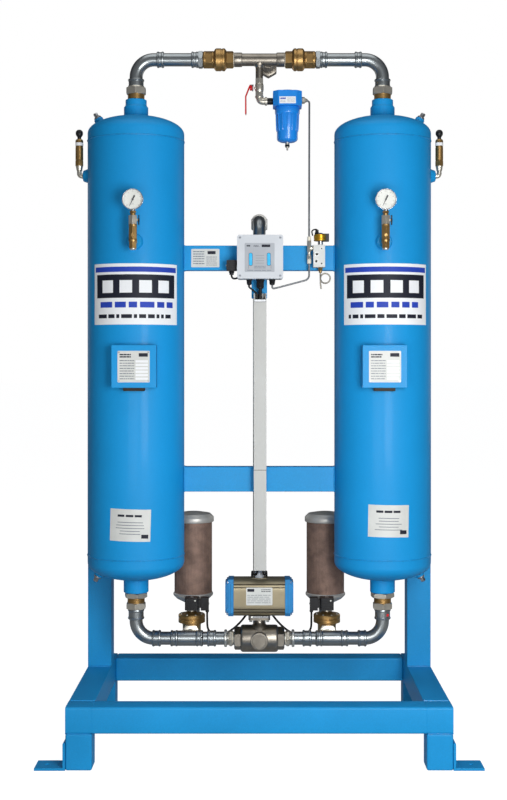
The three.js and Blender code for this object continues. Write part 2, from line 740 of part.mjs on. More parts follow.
function silencer(s) {
  const x = s * EXHAUST_X;
  const start = EXHAUST_Y + 45 + GAP;
  const route = (from, to) => rounded(
    [[x, from, LOW_Z], [x, SILENCER_Y, LOW_Z], [x, SILENCER_Y, to]],
    24,
  );
  return cut(
    join(
      sweep(route(start, 425), 17),
      hex('z', [x, SILENCER_Y], 380, 404, 45),
      turned(x, SILENCER_Y, [
        [0, 404], [22, 404], [30, 413], [55, 426], [67, 437], [67, 444], [63.5, 446], [63.5, 684],
        [69.5, 686], [69.5, 700], [58, 712], [30, 718], [0, 719],
      ], 16),
    ),
    turned(x, SILENCER_Y, [[0, 440], [56, 448], [56, 696], [0, 702]], 12),
    sweep(route(start - 5, 450), 13, BORE_SIDES),
  );
}

// ---------------------------------------------------------------- inlet
// Riser from the switching valve's rear port up to the rear-facing inlet union.
function inletRiser() {
  const route = (from, to) => rounded(
    [[0, from, LOW_Z], [0, RISER_Y, LOW_Z], [0, RISER_Y, INLET_Z], [0, to, INLET_Z]], BEND_R,
  );
  return cut(
    join(
      sweep(route(GAP, INLET_END - 10), PIPE_R),
      bar('y', [0, INLET_Z], 118, 150, 27.5),
      bar('y', [0, INLET_Z], 148, 172, 25),
      hex('y', [0, INLET_Z], 170, INLET_END, 56),
    ),
    sweep(route(-5, INLET_END + 5), PIPE_BORE, BORE_SIDES),
  );
}

// ---------------------------------------------------------------- gauges and relief valves
// Gauge with the cock and brass stub that carry it in front of its tower boss.
function gauge(s) {
  const x = s * GAUGE_X;
  const at = [x, GAUGE_Y];
  const face = (r, from, to) => bar('y', [x, GAUGE_Z], from, to, r, 20);
  return cut(
    join(
      face(GAUGE_R, GAUGE_Y - 14, GAUGE_Y + 16),
      bar('z', at, GAUGE_Z - 30, 1679, 8, 10),
      hex('z', at, 1681, 1672, 20),
      hex('z', at, 1673, 1644, 25),
      hex('z', at, 1645, 1567, 24),
      bar('y', [x, GAUGE_BOSS_Z], GAUGE_Y, TOWER_Y - TOWER_R - BOSS_RISE - GAP, 9, 10),
      bar('x', [GAUGE_Y, COCK_Z], x, x + 15, 4, 8),
    ),
    face(GAUGE_R - 3, GAUGE_Y - 15, GAUGE_Y - 6),
  );
}

// Pointer lying against its stop: a thin blade with a broad tail.
function gaugeNeedle(s) {
  const x = s * GAUGE_X;
  const a = THREE.MathUtils.degToRad(NEEDLE_REST);
  const along = (distance, side) => [
    x + distance * Math.sin(a) + side * Math.cos(a),
    GAUGE_Z + distance * Math.cos(a) - side * Math.sin(a),
  ];
  const edge = [[23, 0.4], [2, 1.4], [-9, 2.6], [-14, 2.2]];
  const outline = [...edge, ...edge.map(([d, w]) => [d, -w]).reverse()];
  return join(
    prism('y', outline.map(([d, w]) => along(d, w)), GAUGE_Y - 9, GAUGE_Y - 8),
    bar('y', [x, GAUGE_Z], GAUGE_Y - 10, GAUGE_Y - 6 - GAP, 3, 10),
  );
}

function cockLever(s) {
  const x = s * GAUGE_X + 15 + GAP;
  return join(
    bar('x', [GAUGE_Y, COCK_Z], x, x + 5, 6, 10),
    block(x + 1, x + 5, GAUGE_Y - 5, GAUGE_Y + 5, COCK_Z - 15, COCK_Z + 15),
  );
}

function reliefValve(s) {
  const x = s * RELIEF_X;
  const at = [x, TOWER_Y];
  const corners = [[s * (BOSS_TIP + GAP), TOWER_Y, RELIEF_Z], [x, TOWER_Y, RELIEF_Z], [x, TOWER_Y, 1845]];
  return join(
    sweep(rounded(corners, 8, 3), 8, 10),
    bar('z', at, 1840, 1857, 9, 10, 0, 12),
    hex('z', at, 1854, 1872, 24),
    bar('z', at, 1871, 1941, 12.5, 12),
  );
}

function reliefKnob(s) {
  return turned(s * RELIEF_X, TOWER_Y, [
    [0, 1941 + GAP], [6, 1941 + GAP], [6, 1948], [10, 1952], [12, 1960], [10, 1967], [5, 1971.5], [0, 1972],
  ]);
}

// ---------------------------------------------------------------- control gear
function controlBox() {
  const [x0, x1, z0, z1] = [-70, 75, 1486, 1624];
  const gland = (x, r, low) => hex('z', [x, GLAND_Y], z0 + 2, low, r * 2);
  return cut(
    join(
      block(x0, x1, BOX_FRONT, BACK_PLATE - GAP, z0, z1),
      gland(-32, 9, 1468), gland(3, 13, 1456), gland(GLAND_X, 10, GLAND_LOW),
    ),
    block(x0 + 3, x1 - 3, BOX_FRONT - 1, BACK_PLATE - GAP - 3, z0 + 3, z1 - 3),
  );
}

const controlBoxLid = () => join(
  block(-70, 75, -160, BOX_FRONT - GAP, 1486, 1624),
  block(-46, 48, -162, -159, 1507, 1598),
);

const controlBoard = () => block(-60, 65, -112, -110, 1496, 1612);

// Pilot solenoid valve: block, coil with its plug, and the union tee on the pilot tube.
function solenoidValve() {
  const at = [195, PANEL_Y];
  return join(
    block(172, 209, PANEL_Y - 19, BEAM_FRONT - GAP, 1525, 1596),
    bar('z', at, 1595, 1611, 8, 10),
    bar('z', at, 1610, 1630, 21, 16),
    block(205, 222, PANEL_Y - 13, PANEL_Y + 13, 1608, 1632),
    bar('z', [184, PANEL_Y], 1629, 1648, 7, 10),
    bar('z', at, 1526, 1508, 7, 10),
    bar('z', [TUBE_X, PANEL_Y], TEE_LOW, TEE_TOP - GAP, 7, 10),
    bar('x', [PANEL_Y, 1586], TUBE_X, 173, 5.5, 10),
  );
}

// Bent tube that lets the pilot exhaust out: one loop, then straight down.
function pigtail() {
  const [x, z, r] = [210.5, 1490, 15.5];
  const stations = [new THREE.Vector3(195, PANEL_Y, 1508 - GAP)];
  const turns = 20;
  for (let i = 0; i <= turns; i += 1) {
    const a = Math.PI + (2 * Math.PI * i) / turns;
    stations.push(new THREE.Vector3(x + r * Math.cos(a), PANEL_Y - (7 * i) / turns, z + r * Math.sin(a)));
  }
  stations.push(new THREE.Vector3(195, PANEL_Y - 7, 1472), new THREE.Vector3(197, PANEL_Y - 7, 1456));
  return sweep(stations, 2.5, 8);
}

// Signal tube from the tee down and across, then up into a gland under the box.
function signalTube() {
  const drop = rounded(
    [[TUBE_X, PANEL_Y, TEE_LOW - GAP], [TUBE_X, PANEL_Y, 1487], [60, GLAND_Y, 1460]],
    18,
  );
  const rise = rounded(
    [[60, GLAND_Y, 1460], [GLAND_X, GLAND_Y, 1456], [GLAND_X, GLAND_Y, GLAND_LOW - GAP]],
    5,
    3,
  );
  return sweep(drop.concat(rise.slice(1)), 3, 8);
}

// Open-topped cable trunking with its cover, from the box down to the actuator.
function trunking() {
  const [x0, x1, low, high, front] = [-17.5, 22.5, 560, 1442, -120];
  return cut(
    block(x0, x1, front, BACK_PLATE - GAP, low, high),
    block(x0 + 2.5, x1 - 2.5, front + 2.5, BACK_PLATE - GAP - 2.5, low - 1, high + 1),
    block(x0 + 2.5, x1 - 2.5, front - 1, front + 5, 1415, high + 1),
  );
}

// Plug on the side of the box with the lead that loops back to the rear wall.
function connectorPlug() {
  const lead = cable([[-88, -120, 1513], [-88, -120, 1500], [-100, -112, 1488], [-112, -104, 1500],
    [-108, -100, 1530], [-96, -98, 1545]], 3, 14);
  return join(block(-104, -70 - GAP, -134, -106, 1512, 1547), lead);
}

// Cable from an exhaust coil down to the pipe, inwards behind it, and up over the actuator to the trunking.
function coilCable(s) {
  const points = [
    [s * 172, EXHAUST_Y, 404 - GAP], [s * 172, 42, 378], [s * 168, 8, 350], [s * 150, -20, 340],
    [s * 112, -22, 340], [s * 70, -8, 366], [s * 34, 6, 412], [s * 24, 8, 470], [s * 24, 4, 520],
    [s * 23, -14, 540], [s * 22, -60, 541], [s * 10 + 2.5, -96, 549], [s * 8 + 2.5, -102, 600],
  ];
  return cable(points, 3.5, 30, 6);
}

// ---------------------------------------------------------------- assembly
part('front_beam', 'paint', frontBeam());
part('rear_beam', 'paint', rearBeam());
part('crossbeam_upper', 'paint', crossbeam(BEAM_UPPER, 1426, BEAM_UPPER + RAIL));
part('crossbeam_lower', 'paint', crossbeam(BEAM_LOWER, BEAM_LOWER, BEAM_LOWER + RAIL));
part('outlet_manifold', 'stainless', outletManifold());
part('pilot_ball_valve', 'nickel', pilotBallValve());
part('pilot_valve_lever', 'red', pilotLever());
part('filter_head', 'filterBlue', filterHead());
part('filter_bowl', 'filterBlue', filterBowl());
part('filter_element', 'paper', filterElement());
part('pilot_tube', 'tube', pilotTube());
part('switching_valve_body', 'stainless', switchingValve());
part('valve_ball', 'steel', valveBall());
part('actuator_body', 'bronze', actuatorBody());
part('actuator_pinion', 'steel', actuatorPinion());
part('inlet_riser', 'steel', inletRiser());
part('control_box', 'plate', controlBox());
part('control_box_lid', 'plate', controlBoxLid());
part('control_board', 'board', controlBoard());
part('solenoid_valve', 'steel', solenoidValve());
part('pigtail_tube', 'steel', pigtail());
part('signal_tube', 'tube', signalTube());
part('trunking', 'trunk', trunking());
part('connector_plug', 'black', connectorPlug());

for (const [side, s] of SIDES) {
  part(`side_frame_${side}`, 'paint', sideFrame(s));
  part(`foot_front_${side}`, 'paint', foot(s, -1));
  part(`foot_rear_${side}`, 'paint', foot(s, 1));
  part(`tower_${side}`, 'paint', tower(s));
  part(`desiccant_bed_${side}`, 'bead', bed(s));
  part(`top_elbow_${side}`, 'steel', topElbow(s));
  part(`check_valve_${side}`, 'brass', checkValve(s));
  part(`bottom_elbow_${side}`, 'steel', bottomElbow(s));
  part(`actuator_cap_${side}`, 'capBlue', actuatorCap(s));
  part(`piston_${side}`, 'steel', piston(s));
  part(`exhaust_valve_${side}`, 'brass', exhaustValve(s));
  part(`silencer_${side}`, 'silencer', silencer(s));
  part(`gauge_${side}`, 'steel', gauge(s));
  part(`gauge_needle_${side}`, 'black', gaugeNeedle(s));
  part(`gauge_cock_lever_${side}`, 'black', cockLever(s));
  part(`relief_valve_${side}`, 'brass', reliefValve(s));
  part(`relief_knob_${side}`, 'black', reliefKnob(s));
  part(`coil_cable_${side}`, 'cable', coilCable(s));
}

export default dryer;
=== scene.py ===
# Twin-tower desiccant air dryer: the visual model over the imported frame.
# Shapes are written in millimetres and stored in metres. Where a piece meets its CAD solid the station is
# read from that node's box; lines and levels that several pieces share are named below.
import random
from math import cos, hypot, pi, radians, sin, sqrt, tan

import bmesh
import bpy
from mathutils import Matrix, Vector


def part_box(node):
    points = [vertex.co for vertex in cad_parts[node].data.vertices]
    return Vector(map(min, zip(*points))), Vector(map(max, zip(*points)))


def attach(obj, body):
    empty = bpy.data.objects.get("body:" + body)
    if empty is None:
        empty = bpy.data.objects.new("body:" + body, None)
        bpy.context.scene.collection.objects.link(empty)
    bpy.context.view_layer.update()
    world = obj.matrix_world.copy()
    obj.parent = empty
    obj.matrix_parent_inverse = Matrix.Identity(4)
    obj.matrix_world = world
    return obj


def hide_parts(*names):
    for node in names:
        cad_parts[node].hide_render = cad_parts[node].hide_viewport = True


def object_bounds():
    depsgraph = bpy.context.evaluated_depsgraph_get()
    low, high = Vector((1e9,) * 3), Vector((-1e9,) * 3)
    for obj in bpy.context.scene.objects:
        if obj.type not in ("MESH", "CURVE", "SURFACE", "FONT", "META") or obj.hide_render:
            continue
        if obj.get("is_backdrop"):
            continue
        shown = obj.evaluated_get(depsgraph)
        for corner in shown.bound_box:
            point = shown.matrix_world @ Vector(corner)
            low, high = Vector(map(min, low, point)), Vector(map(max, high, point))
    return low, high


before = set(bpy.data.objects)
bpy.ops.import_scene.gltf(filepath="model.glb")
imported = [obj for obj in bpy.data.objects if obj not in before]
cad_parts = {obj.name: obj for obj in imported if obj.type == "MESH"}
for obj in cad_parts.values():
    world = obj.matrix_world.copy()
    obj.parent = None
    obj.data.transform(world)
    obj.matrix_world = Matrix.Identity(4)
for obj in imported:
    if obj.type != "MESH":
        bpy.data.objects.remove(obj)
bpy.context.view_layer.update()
RNG = random.Random(7)
SIDES = (("left", -1), ("right", 1))


class Box:
    """A node's box at rest, in millimetres, with its middle and its distances from X = 0."""

    def __init__(self, node):
        low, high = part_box(node)
        self.x0, self.y0, self.z0 = (v * 1000 for v in low)
        self.x1, self.y1, self.z1 = (v * 1000 for v in high)
        self.x, self.y, self.z = ((self.x0 + self.x1) / 2, (self.y0 + self.y1) / 2, (self.z0 + self.z1) / 2)
        self.near, self.far = sorted((abs(self.x0), abs(self.x1)))


AT = {name: Box(name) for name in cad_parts}

AXIS_Y = AT["desiccant_bed_left"].y         # both towers and both pipe lines, front to back
TOP_LINE = AT["check_valve_left"].z         # axis of the upper pipes
LOW_LINE = AT["bottom_elbow_left"].z0 + 30  # axis of the lower pipes
PILOT_LINE = 2063                           # axis of the stub between the pilot valve and its filter
PORT_Z = 2066                               # ports of the filter head
PIPE_R, BEND_R = 21, 57                     # press-fit pipe: outside, and the middle line of a bend
RISER_Y, RISER_TOP = 60, 1692               # axis of the inlet riser and of its top leg
EXHAUST_Y = 45                              # stem of each exhaust valve
PILOT_Y = -100                              # solenoid valve and its tubes
GLAND_Y = -115                              # cable glands under the control box
BEAM = 80                                   # side of a frame tube
UPRIGHT = (160, 240)                        # an upright's faces, front and back
STUB_X, STUB_LEVELS = (501.5, 551.5), (760, 1500)  # struts from an upright to its tower
HOLE_X = 640                                # bolt hole in a foot plate
CROSS_Y = (-80, -40)                        # a crossbeam's faces, front and back
PLATE_Z = 1209.5                            # middle of the rating plate
GAUGE_BOSS_Z = 1597                         # boss that carries the gauge cock


# ---------------------------------------------------------------- materials
GAMMA = 2.2


def node(tree, kind, links=None, values=None, **settings):
    """Adds a shader node; links and values are keyed by the input's name or number."""
    made = tree.nodes.new("ShaderNode" + kind)
    for key, value in settings.items():
        setattr(made, key, value)
    for key, value in (values or {}).items():
        made.inputs[key].default_value = value
    for key, source in (links or {}).items():
        tree.links.new(source, made.inputs[key])
    return made


def empty_tree(owner):
    owner.use_nodes = True
    owner.node_tree.nodes.clear()
    return owner.node_tree


def material(name, rgb, rough, metal, shade, mottle, grain, bump=0.0, coat=0.0, streak=(1, 1, 1),
             rough_vary=0.08, alpha=1.0, glow=0.0, shine=0.35):
    """A surface with two scales of tone, a fine bump (mm) and its own spread of roughness."""
    mat = bpy.data.materials.new(name)
    tree = empty_tree(mat)
    colour = [(c / 255) ** GAMMA for c in rgb]
    place = node(tree, "TexCoord").outputs["Object"]
    stretch = node(tree, "Mapping", {"Vector": place}, {"Scale": streak})
    broad = node(tree, "TexNoise", {"Vector": place}, {"Scale": mottle, "Detail": 4})
    fine = node(tree, "TexNoise", {"Vector": stretch.outputs[0]}, {"Scale": grain, "Detail": 3})
    part = node(tree, "Math", {0: fine.outputs["Fac"]}, {1: 0.4}, operation="MULTIPLY")
    tone = node(tree, "Math", {0: broad.outputs["Fac"], 2: part.outputs[0]}, {1: 0.6},
                operation="MULTIPLY_ADD")
    spread = node(tree, "MapRange", {"Value": tone.outputs[0]}, {"From Min": 0.35, "From Max": 0.65})
    mix = node(tree, "Mix", {"Factor": spread.outputs["Result"]}, {
        6: (*[c * (1 - shade) for c in colour], 1), 7: (*[min(c * (1 + shade), 1) for c in colour], 1)},
               data_type="RGBA")
    dull = node(tree, "MapRange", {"Value": tone.outputs[0]}, {
        "To Min": max(rough - rough_vary, 0.03), "To Max": min(rough + rough_vary, 1)})
    surface = node(tree, "BsdfPrincipled", {
        "Base Color": mix.outputs[2], "Roughness": dull.outputs["Result"]}, {
        "Metallic": metal, "Specular IOR Level": shine, "Coat Weight": coat, "Coat Roughness": 0.12})
    if alpha < 1:
        surface.inputs["Alpha"].default_value = alpha
    if glow:
        surface.inputs["Emission Color"].default_value = (*colour, 1)
        surface.inputs["Emission Strength"].default_value = glow
    if bump:
        relief = node(tree, "Bump", {"Height": fine.outputs["Fac"]}, {
            "Strength": 1.0, "Distance": bump / 1000})
        tree.links.new(relief.outputs["Normal"], surface.inputs["Normal"])
    node(tree, "OutputMaterial", {"Surface": surface.outputs["BSDF"]})
    return mat


# Columns: name, colour, roughness, metal, shade, mottle, grain, bump
MATS = {
    "paint": material("gloss_blue_paint", (26, 146, 213), 0.54, 0, 0.05, 3, 260, 0.12, coat=0.05,
        shine=0.22),
    "frame": material("frame_blue_paint", (28, 146, 210), 0.5, 0, 0.08, 5, 220, 0.16, coat=0.05,
        shine=0.24),
    "weld": material("painted_weld", (22, 138, 202), 0.44, 0, 0.12, 60, 420, 0.5, coat=0.1),
    "pipe": material("zinc_pipe", (152, 158, 160), 0.3, 0.92, 0.07, 9, 420, 0.01, streak=(1, 0.1, 1),
        rough_vary=0.03),
    "zinc": material("zinc_plate", (205, 206, 200), 0.34, 0.85, 0.1, 40, 700, 0.02),
    "stainless": material("cast_stainless", (146, 140, 130), 0.38, 1.0, 0.16, 30, 620, 0.08),
    "brass": material("brass", (172, 138, 88), 0.38, 0.88, 0.16, 34, 560, 0.05),
    "nickel": material("nickel", (208, 203, 190), 0.32, 0.82, 0.08, 50, 800, 0.02),
    "chrome": material("chrome", (216, 220, 224), 0.12, 1.0, 0.06, 30, 600, 0.01),
    "bronze": material("anodised_bronze", (150, 140, 116), 0.42, 0.75, 0.08, 20, 900, 0.03,
        streak=(0.05, 1, 1)),
    # painted shade: a dark finish laid into gaps, bores, holes and grooves and under the plate stand, where
    # shade falls
    "painted_shade": material("groove_shadow", (52, 48, 40), 0.6, 0.4, 0.2, 60, 600, 0.04),
    "cap": material("cap_blue_paint", (36, 132, 196), 0.36, 0.1, 0.1, 24, 420, 0.12, coat=0.3),
    "filter": material("filter_blue_paint", (34, 138, 232), 0.3, 0, 0.07, 22, 420, 0.1, coat=0.5),
    "black": material("black_plastic", (26, 27, 30), 0.44, 0, 0.25, 60, 900, 0.06),
    "rubber": material("cable_jacket", (24, 24, 26), 0.55, 0, 0.25, 50, 700, 0.05),
    "red": material("red_vinyl", (206, 22, 30), 0.36, 0, 0.12, 60, 700, 0.08),
    "box": material("pale_box_plastic", (204, 209, 215), 0.42, 0, 0.05, 14, 900, 0.08),
    "panel": material("panel_grey", (170, 175, 182), 0.4, 0, 0.06, 16, 900, 0.02),
    "lens": material("blue_lens", (64, 180, 232), 0.14, 0, 0.1, 90, 300, coat=1.0, glow=0.15),
    "strip": material("dark_strip", (70, 80, 96), 0.36, 0, 0.12, 60, 500, 0.02),
    "trunk": material("trunking_plastic", (190, 191, 188), 0.46, 0, 0.05, 9, 700, 0.06, streak=(1, 1, 0.1)),
    "mesh": material("sintered_mesh", (142, 118, 106), 0.62, 0.55, 0.32, 34, 900, 0.6, streak=(1, 1, 0.5)),
    "dial": material("dial_white", (232, 233, 226), 0.5, 0, 0.03, 30, 400),
    "ink": material("dial_ink", (28, 30, 34), 0.5, 0, 0.12, 60, 400),
    "label": material("label_white", (238, 241, 244), 0.58, 0, 0.03, 8, 300, 0.03),
    "silver": material("silver_foil", (208, 210, 207), 0.54, 0.06, 0.06, 24, 600, 0.02),
    "navy": material("navy_print", (26, 30, 44), 0.6, 0, 0.1, 30, 500),
    "cobalt": material("cobalt_print", (40, 68, 176), 0.6, 0, 0.1, 30, 500),
    "grey_print": material("grey_print", (104, 112, 122), 0.45, 0, 0.1, 60, 700),
    "gasket": material("gasket_white", (222, 216, 200), 0.6, 0, 0.1, 90, 700, 0.1),
    "alloy": material("spun_alloy", (196, 194, 188), 0.46, 0.55, 0.1, 30, 700, 0.04),
    "tube": material("grey_tube", (112, 115, 118), 0.34, 0.35, 0.12, 30, 600, 0.02),
    "gold": material("coil_gold", (206, 154, 48), 0.34, 0.85, 0.14, 60, 800, 0.03),
    "beads": material("desiccant_beads", (230, 225, 212), 0.85, 0, 0.2, 60, 260, 2),
    "media": material("filter_media", (236, 234, 226), 0.8, 0, 0.08, 60, 500, 0.4),
    "board": material("circuit_board", (30, 104, 62), 0.45, 0, 0.25, 120, 300, 0.2),
    "machined": material("machined_steel", (176, 178, 180), 0.28, 1.0, 0.1, 40, 700, 0.03,
        streak=(1, 1, 0.06)),
    "smoke": material("gauge_glass", (244, 248, 250), 0.05, 0, 0.01, 10, 80, alpha=0.06, rough_vary=0.02),
}


# ---------------------------------------------------------------- shapes
def station(axis, at, a, b, h):
    """A point from its place across an axis (a, b) and along it (h)."""
    if axis == "x":
        return (h, at[0] + a, at[1] + b)
    if axis == "y":
        return (at[0] + a, h, at[1] + b)
    return (at[0] + a, at[1] + b, h)


def around(steps, ends=0):
    """Angles at even steps of a whole turn; ends=1 repeats the first one, for a closed run."""
    return [2 * pi * k / steps for k in range(steps + ends)]


class Form:
    """Closed shells gathered into one mesh, each with its own material."""

    def __init__(self, mat):
        self.verts, self.faces, self.mats, self.mat = [], [], [], mat

    def paint(self, mat):
        self.mat = mat
        return self

    def add(self, verts, faces):
        base = len(self.verts)
        self.verts += [tuple(v) for v in verts]
        self.faces += [tuple(base + i for i in f) for f in faces]
        self.mats += [self.mat] * len(faces)
        return self

    def loops(self, rings, closed=False):
        """Skins rings of equal length; an open run gets a cap at each end."""
        n, m = len(rings[0]), len(rings)
        faces = []
        for j in range(m if closed else m - 1):
            k = (j + 1) % m
            faces += [(j * n + i, j * n + (i + 1) % n, k * n + (i + 1) % n, k * n + i) for i in range(n)]
        if not closed:
            faces += [tuple(range(n - 1, -1, -1)), tuple((m - 1) * n + i for i in range(n))]
        return self.add([v for ring in rings for v in ring], faces)

    def turned(self, axis, at, profile, seg, base, way, closed):
        angles = around(seg)
        return self.loops([[station(axis, at, r * cos(a), r * sin(a), base + way * h) for a in angles]
                           for r, h in profile], closed)

    def lathe(self, axis, at, profile, seg=48, base=0.0, way=1):
        """A solid turned piece from (radius, station) pairs; stations start at base and run along way."""
        return self.turned(axis, at, profile, seg, base, way, False)

    def ring(self, axis, at, profile, seg=48, base=0.0, way=1):
        """A turned piece with a hole: its profile closes on itself."""
        return self.turned(axis, at, profile, seg, base, way, True)

    def rod(self, axis, at, h0, h1, r, r1=None, seg=32, soft=0.8):
        """A round bar with a small chamfer at each end."""
        r1 = r if r1 is None else r1
        lo, hi = (h0, h1) if h0 < h1 else (h1, h0)
        ra, rb = (r, r1) if h0 < h1 else (r1, r)
        c = min(soft, (hi - lo) / 3, ra / 3, rb / 3)
        return self.lathe(axis, at, [(ra - c, lo), (ra, lo + c), (rb, hi - c), (rb - c, hi)], seg)

    def nut(self, axis, at, h0, h1, flats, turn=0.0, sides=6, bore=0.0):
        """A nut whose corners are cut back by a cone at each end."""
        lo, hi = min(h0, h1), max(h0, h1)
        angles = around(sides * 8)
        full = [flats / 2 / cos((a + pi / sides) % (2 * pi / sides) - pi / sides) for a in angles]
        flat = flats / 2 * 0.97

        def edge(radii, level):
            return [station(axis, at, r * cos(a + turn), r * sin(a + turn), level(r))
                    for r, a in zip(radii, angles)]

        inner, hole = [flat] * len(angles), [bore] * len(angles)
        rings = [edge(inner, lambda r: lo), edge(full, lambda r: lo + (r - flat) * 0.55),
                 edge(full, lambda r: hi - (r - flat) * 0.55), edge(inner, lambda r: hi)]
        if bore:
            rings += [edge(hole, lambda r: hi), edge(hole, lambda r: lo)]
        return self.loops(rings, bool(bore))

    def block(self, x0, x1, y0, y1, z0, z1):
        corners = [(x, y, z) for z in (z0, z1) for y in (y0, y1) for x in (x0, x1)]
        return self.add(corners, [(0, 2, 3, 1), (4, 5, 7, 6), (0, 1, 5, 4), (2, 6, 7, 3), (0, 4, 6, 2),
                                  (1, 3, 7, 5)])

    def prism(self, axis, outline, h0, h1):
        return self.loops([[station(axis, (0, 0), a, b, h) for a, b in outline] for h in (h0, h1)])

    def slab(self, axis, middle, size, radius, h0, h1, steps=5):
        """A plate with rounded corners."""
        return self.prism(axis, rounded_rect(middle, size, radius, steps), h0, h1)

    def sweep(self, points, radius, seg=20, ripple=0.0):
        """A round section carried along points; ripple swells it in steps, as a weld bead does."""
        points = [Vector(p) for p in points]
        tangents = []
        for i in range(len(points)):
            before = points[max(i - 1, 0)]
            after = points[min(i + 1, len(points) - 1)]
            tangents.append((after - before).normalized())
        side = tangents[0].orthogonal().normalized()
        rings = []
        for i, (p, t) in enumerate(zip(points, tangents)):
            side = (side - t * side.dot(t)).normalized()
            up = t.cross(side)
            r = radius * (1 + ripple * sin(2.1 * i) + ripple * (RNG.random() - 0.5))
            rings.append([p + side * (r * cos(a)) + up * (r * sin(a)) for a in around(seg)])
        return self.loops(rings)

    def weld(self, points, radius=3.0, step=4.0):
        """A rippled bead along straight legs through points."""
        run = []
        for a, b in zip(points, points[1:]):
            a, b = Vector(a), Vector(b)
            n = max(int((b - a).length / step), 1)
            run += [a.lerp(b, k / n) for k in range(n)]
        run.append(Vector(points[-1]))
        return self.sweep(run, radius, 8, 0.14)

    def patch(self, at, radius, middle, u, v, lift, thick=0.3, lean=0.0, turn=0.0):
        """A thin sheet on a round shell: u runs round the shell and v up it, both from middle."""
        steps = max(int(abs(u[1] - u[0]) / 6), 2)
        cs, sn = cos(lean), sin(lean)
        rings = []
        for i in range(steps + 1):
            p = u[0] + (u[1] - u[0]) * i / steps
            ring = []
            for r, q in ((lift, v[0]), (lift + thick, v[0]), (lift + thick, v[1]), (lift, v[1])):
                across, up = p * cs - q * sn, p * sn + q * cs
                a = across / radius + turn
                ring.append((at[0] + (radius + r) * sin(a), at[1] - (radius + r) * cos(a), middle + up))
            rings.append(ring)
        return self.loops(rings)

    def holed(self, axis, at, half, radius, h0, h1):
        """A rectangular plate around a round hole."""
        rings = []
        count = 48
        for rim, h in ((True, h0), (True, h1), (False, h1), (False, h0)):
            ring = []
            for i in range(count):
                a = 2 * pi * (i + 0.5) / count
                c, s = cos(a), sin(a)
                reach = min(half[0] / max(abs(c), 1e-6), half[1] / max(abs(s), 1e-6)) if rim else radius
                ring.append(station(axis, at, reach * c, reach * s, h))
            rings.append(ring)
        return self.loops(rings, True)


def rounded_rect(middle, size, radius, steps=5):
    points = []
    for cx, cy, a0 in ((1, 1, 0), (-1, 1, 90), (-1, -1, 180), (1, -1, 270)):
        for k in range(steps + 1):
            a = radians(a0 + 90 * k / steps)
            points.append((middle[0] + cx * (size[0] / 2 - radius) + radius * cos(a),
                           middle[1] + cy * (size[1] / 2 - radius) + radius * sin(a)))
    return points


def bends(corners, radius, steps=12):
    """Points along straight legs with each corner rounded."""
    corners = [Vector(c) for c in corners]
    points = [corners[0]]
    for before, corner, after in zip(corners, corners[1:], corners[2:]):
        into, out = (corner - before).normalized(), (after - corner).normalized()
        turn = into.angle(out)
        start = corner - into * radius * tan(turn / 2)
        side = (out - into * out.dot(into)).normalized()
        for k in range(steps + 1):
            a = turn * k / steps
            points.append(start + into * radius * sin(a) + side * radius * (1 - cos(a)))
    return points + [corners[-1]]


def spline(points, per=10):
    """A smooth run through given points."""
    p = [Vector(q) for q in points]
    p = [p[0] * 2 - p[1], *p, p[-1] * 2 - p[-2]]
    out = []
    for i in range(1, len(p) - 2):
        for k in range(per):
            t = k / per
            out.append(0.5 * (2 * p[i] + (p[i + 1] - p[i - 1]) * t
                              + (2 * p[i - 1] - 5 * p[i] + 4 * p[i + 1] - p[i + 2]) * t * t
                              + (3 * p[i] - p[i - 1] - 3 * p[i + 1] + p[i + 2]) * t ** 3))
    return out + [p[-2]]


def piece(name, form, nodes=(), body="dryer", bevel=0.0, smooth=34):
    """Makes one visual piece from a form and hangs it on its body."""
    mesh = bpy.data.meshes.new(name)
    mesh.from_pydata([tuple(c / 1000 for c in v) for v in form.verts], [], form.faces)
    kinds = list(dict.fromkeys(form.mats))
    for kind in kinds:
        mesh.materials.append(MATS[kind])
    for polygon, kind in zip(mesh.polygons, form.mats):
        polygon.material_index = kinds.index(kind)
    bm = bmesh.new()
    bm.from_mesh(mesh)
    bmesh.ops.recalc_face_normals(bm, faces=bm.faces)
    bm.to_mesh(mesh)
    bm.free()
    mesh.shade_smooth()
    mesh.set_sharp_from_angle(angle=radians(smooth))
    obj = bpy.data.objects.new(name, mesh)
    bpy.context.scene.collection.objects.link(obj)
    if bevel:
        mod = obj.modifiers.new("soft_edges", "BEVEL")
        mod.width = bevel / 1000
        mod.segments = 3
        mod.limit_method = "ANGLE"
        mod.angle_limit = radians(40)
        mod.harden_normals = True
    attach(obj, body)
    if nodes:
        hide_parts(*([nodes] if isinstance(nodes, str) else nodes))
    return obj


def screw(form, axis, at, face, way, r, mat="zinc"):
    """A socket-head screw that stands on a face; way is the side that it faces."""
    form.paint(mat).lathe(axis, at, [(r, 0), (r, r * 0.5), (r * 0.86, r * 0.7), (r * 0.5, r * 0.7),
                                     (r * 0.42, r * 0.3)], 18, face, way)


def greek(form, x0, x1, z0, z1, y, rows, fill=0.5, mat="grey_print"):
    """Rows of plain bars that stand for print on a plate that faces the front."""
    form.paint(mat)
    pitch = (z1 - z0) / rows
    for k in range(rows):
        z = z1 - (k + 0.5) * pitch
        x = x0
        while x < x1 - 2:
            w = min(RNG.uniform(0.08, 0.32) * (x1 - x0), x1 - x)
            form.block(x, x + w, y - 0.12, y + 0.3, z - pitch * fill / 2, z + pitch * fill / 2)
            x += w + 0.03 * (x1 - x0)


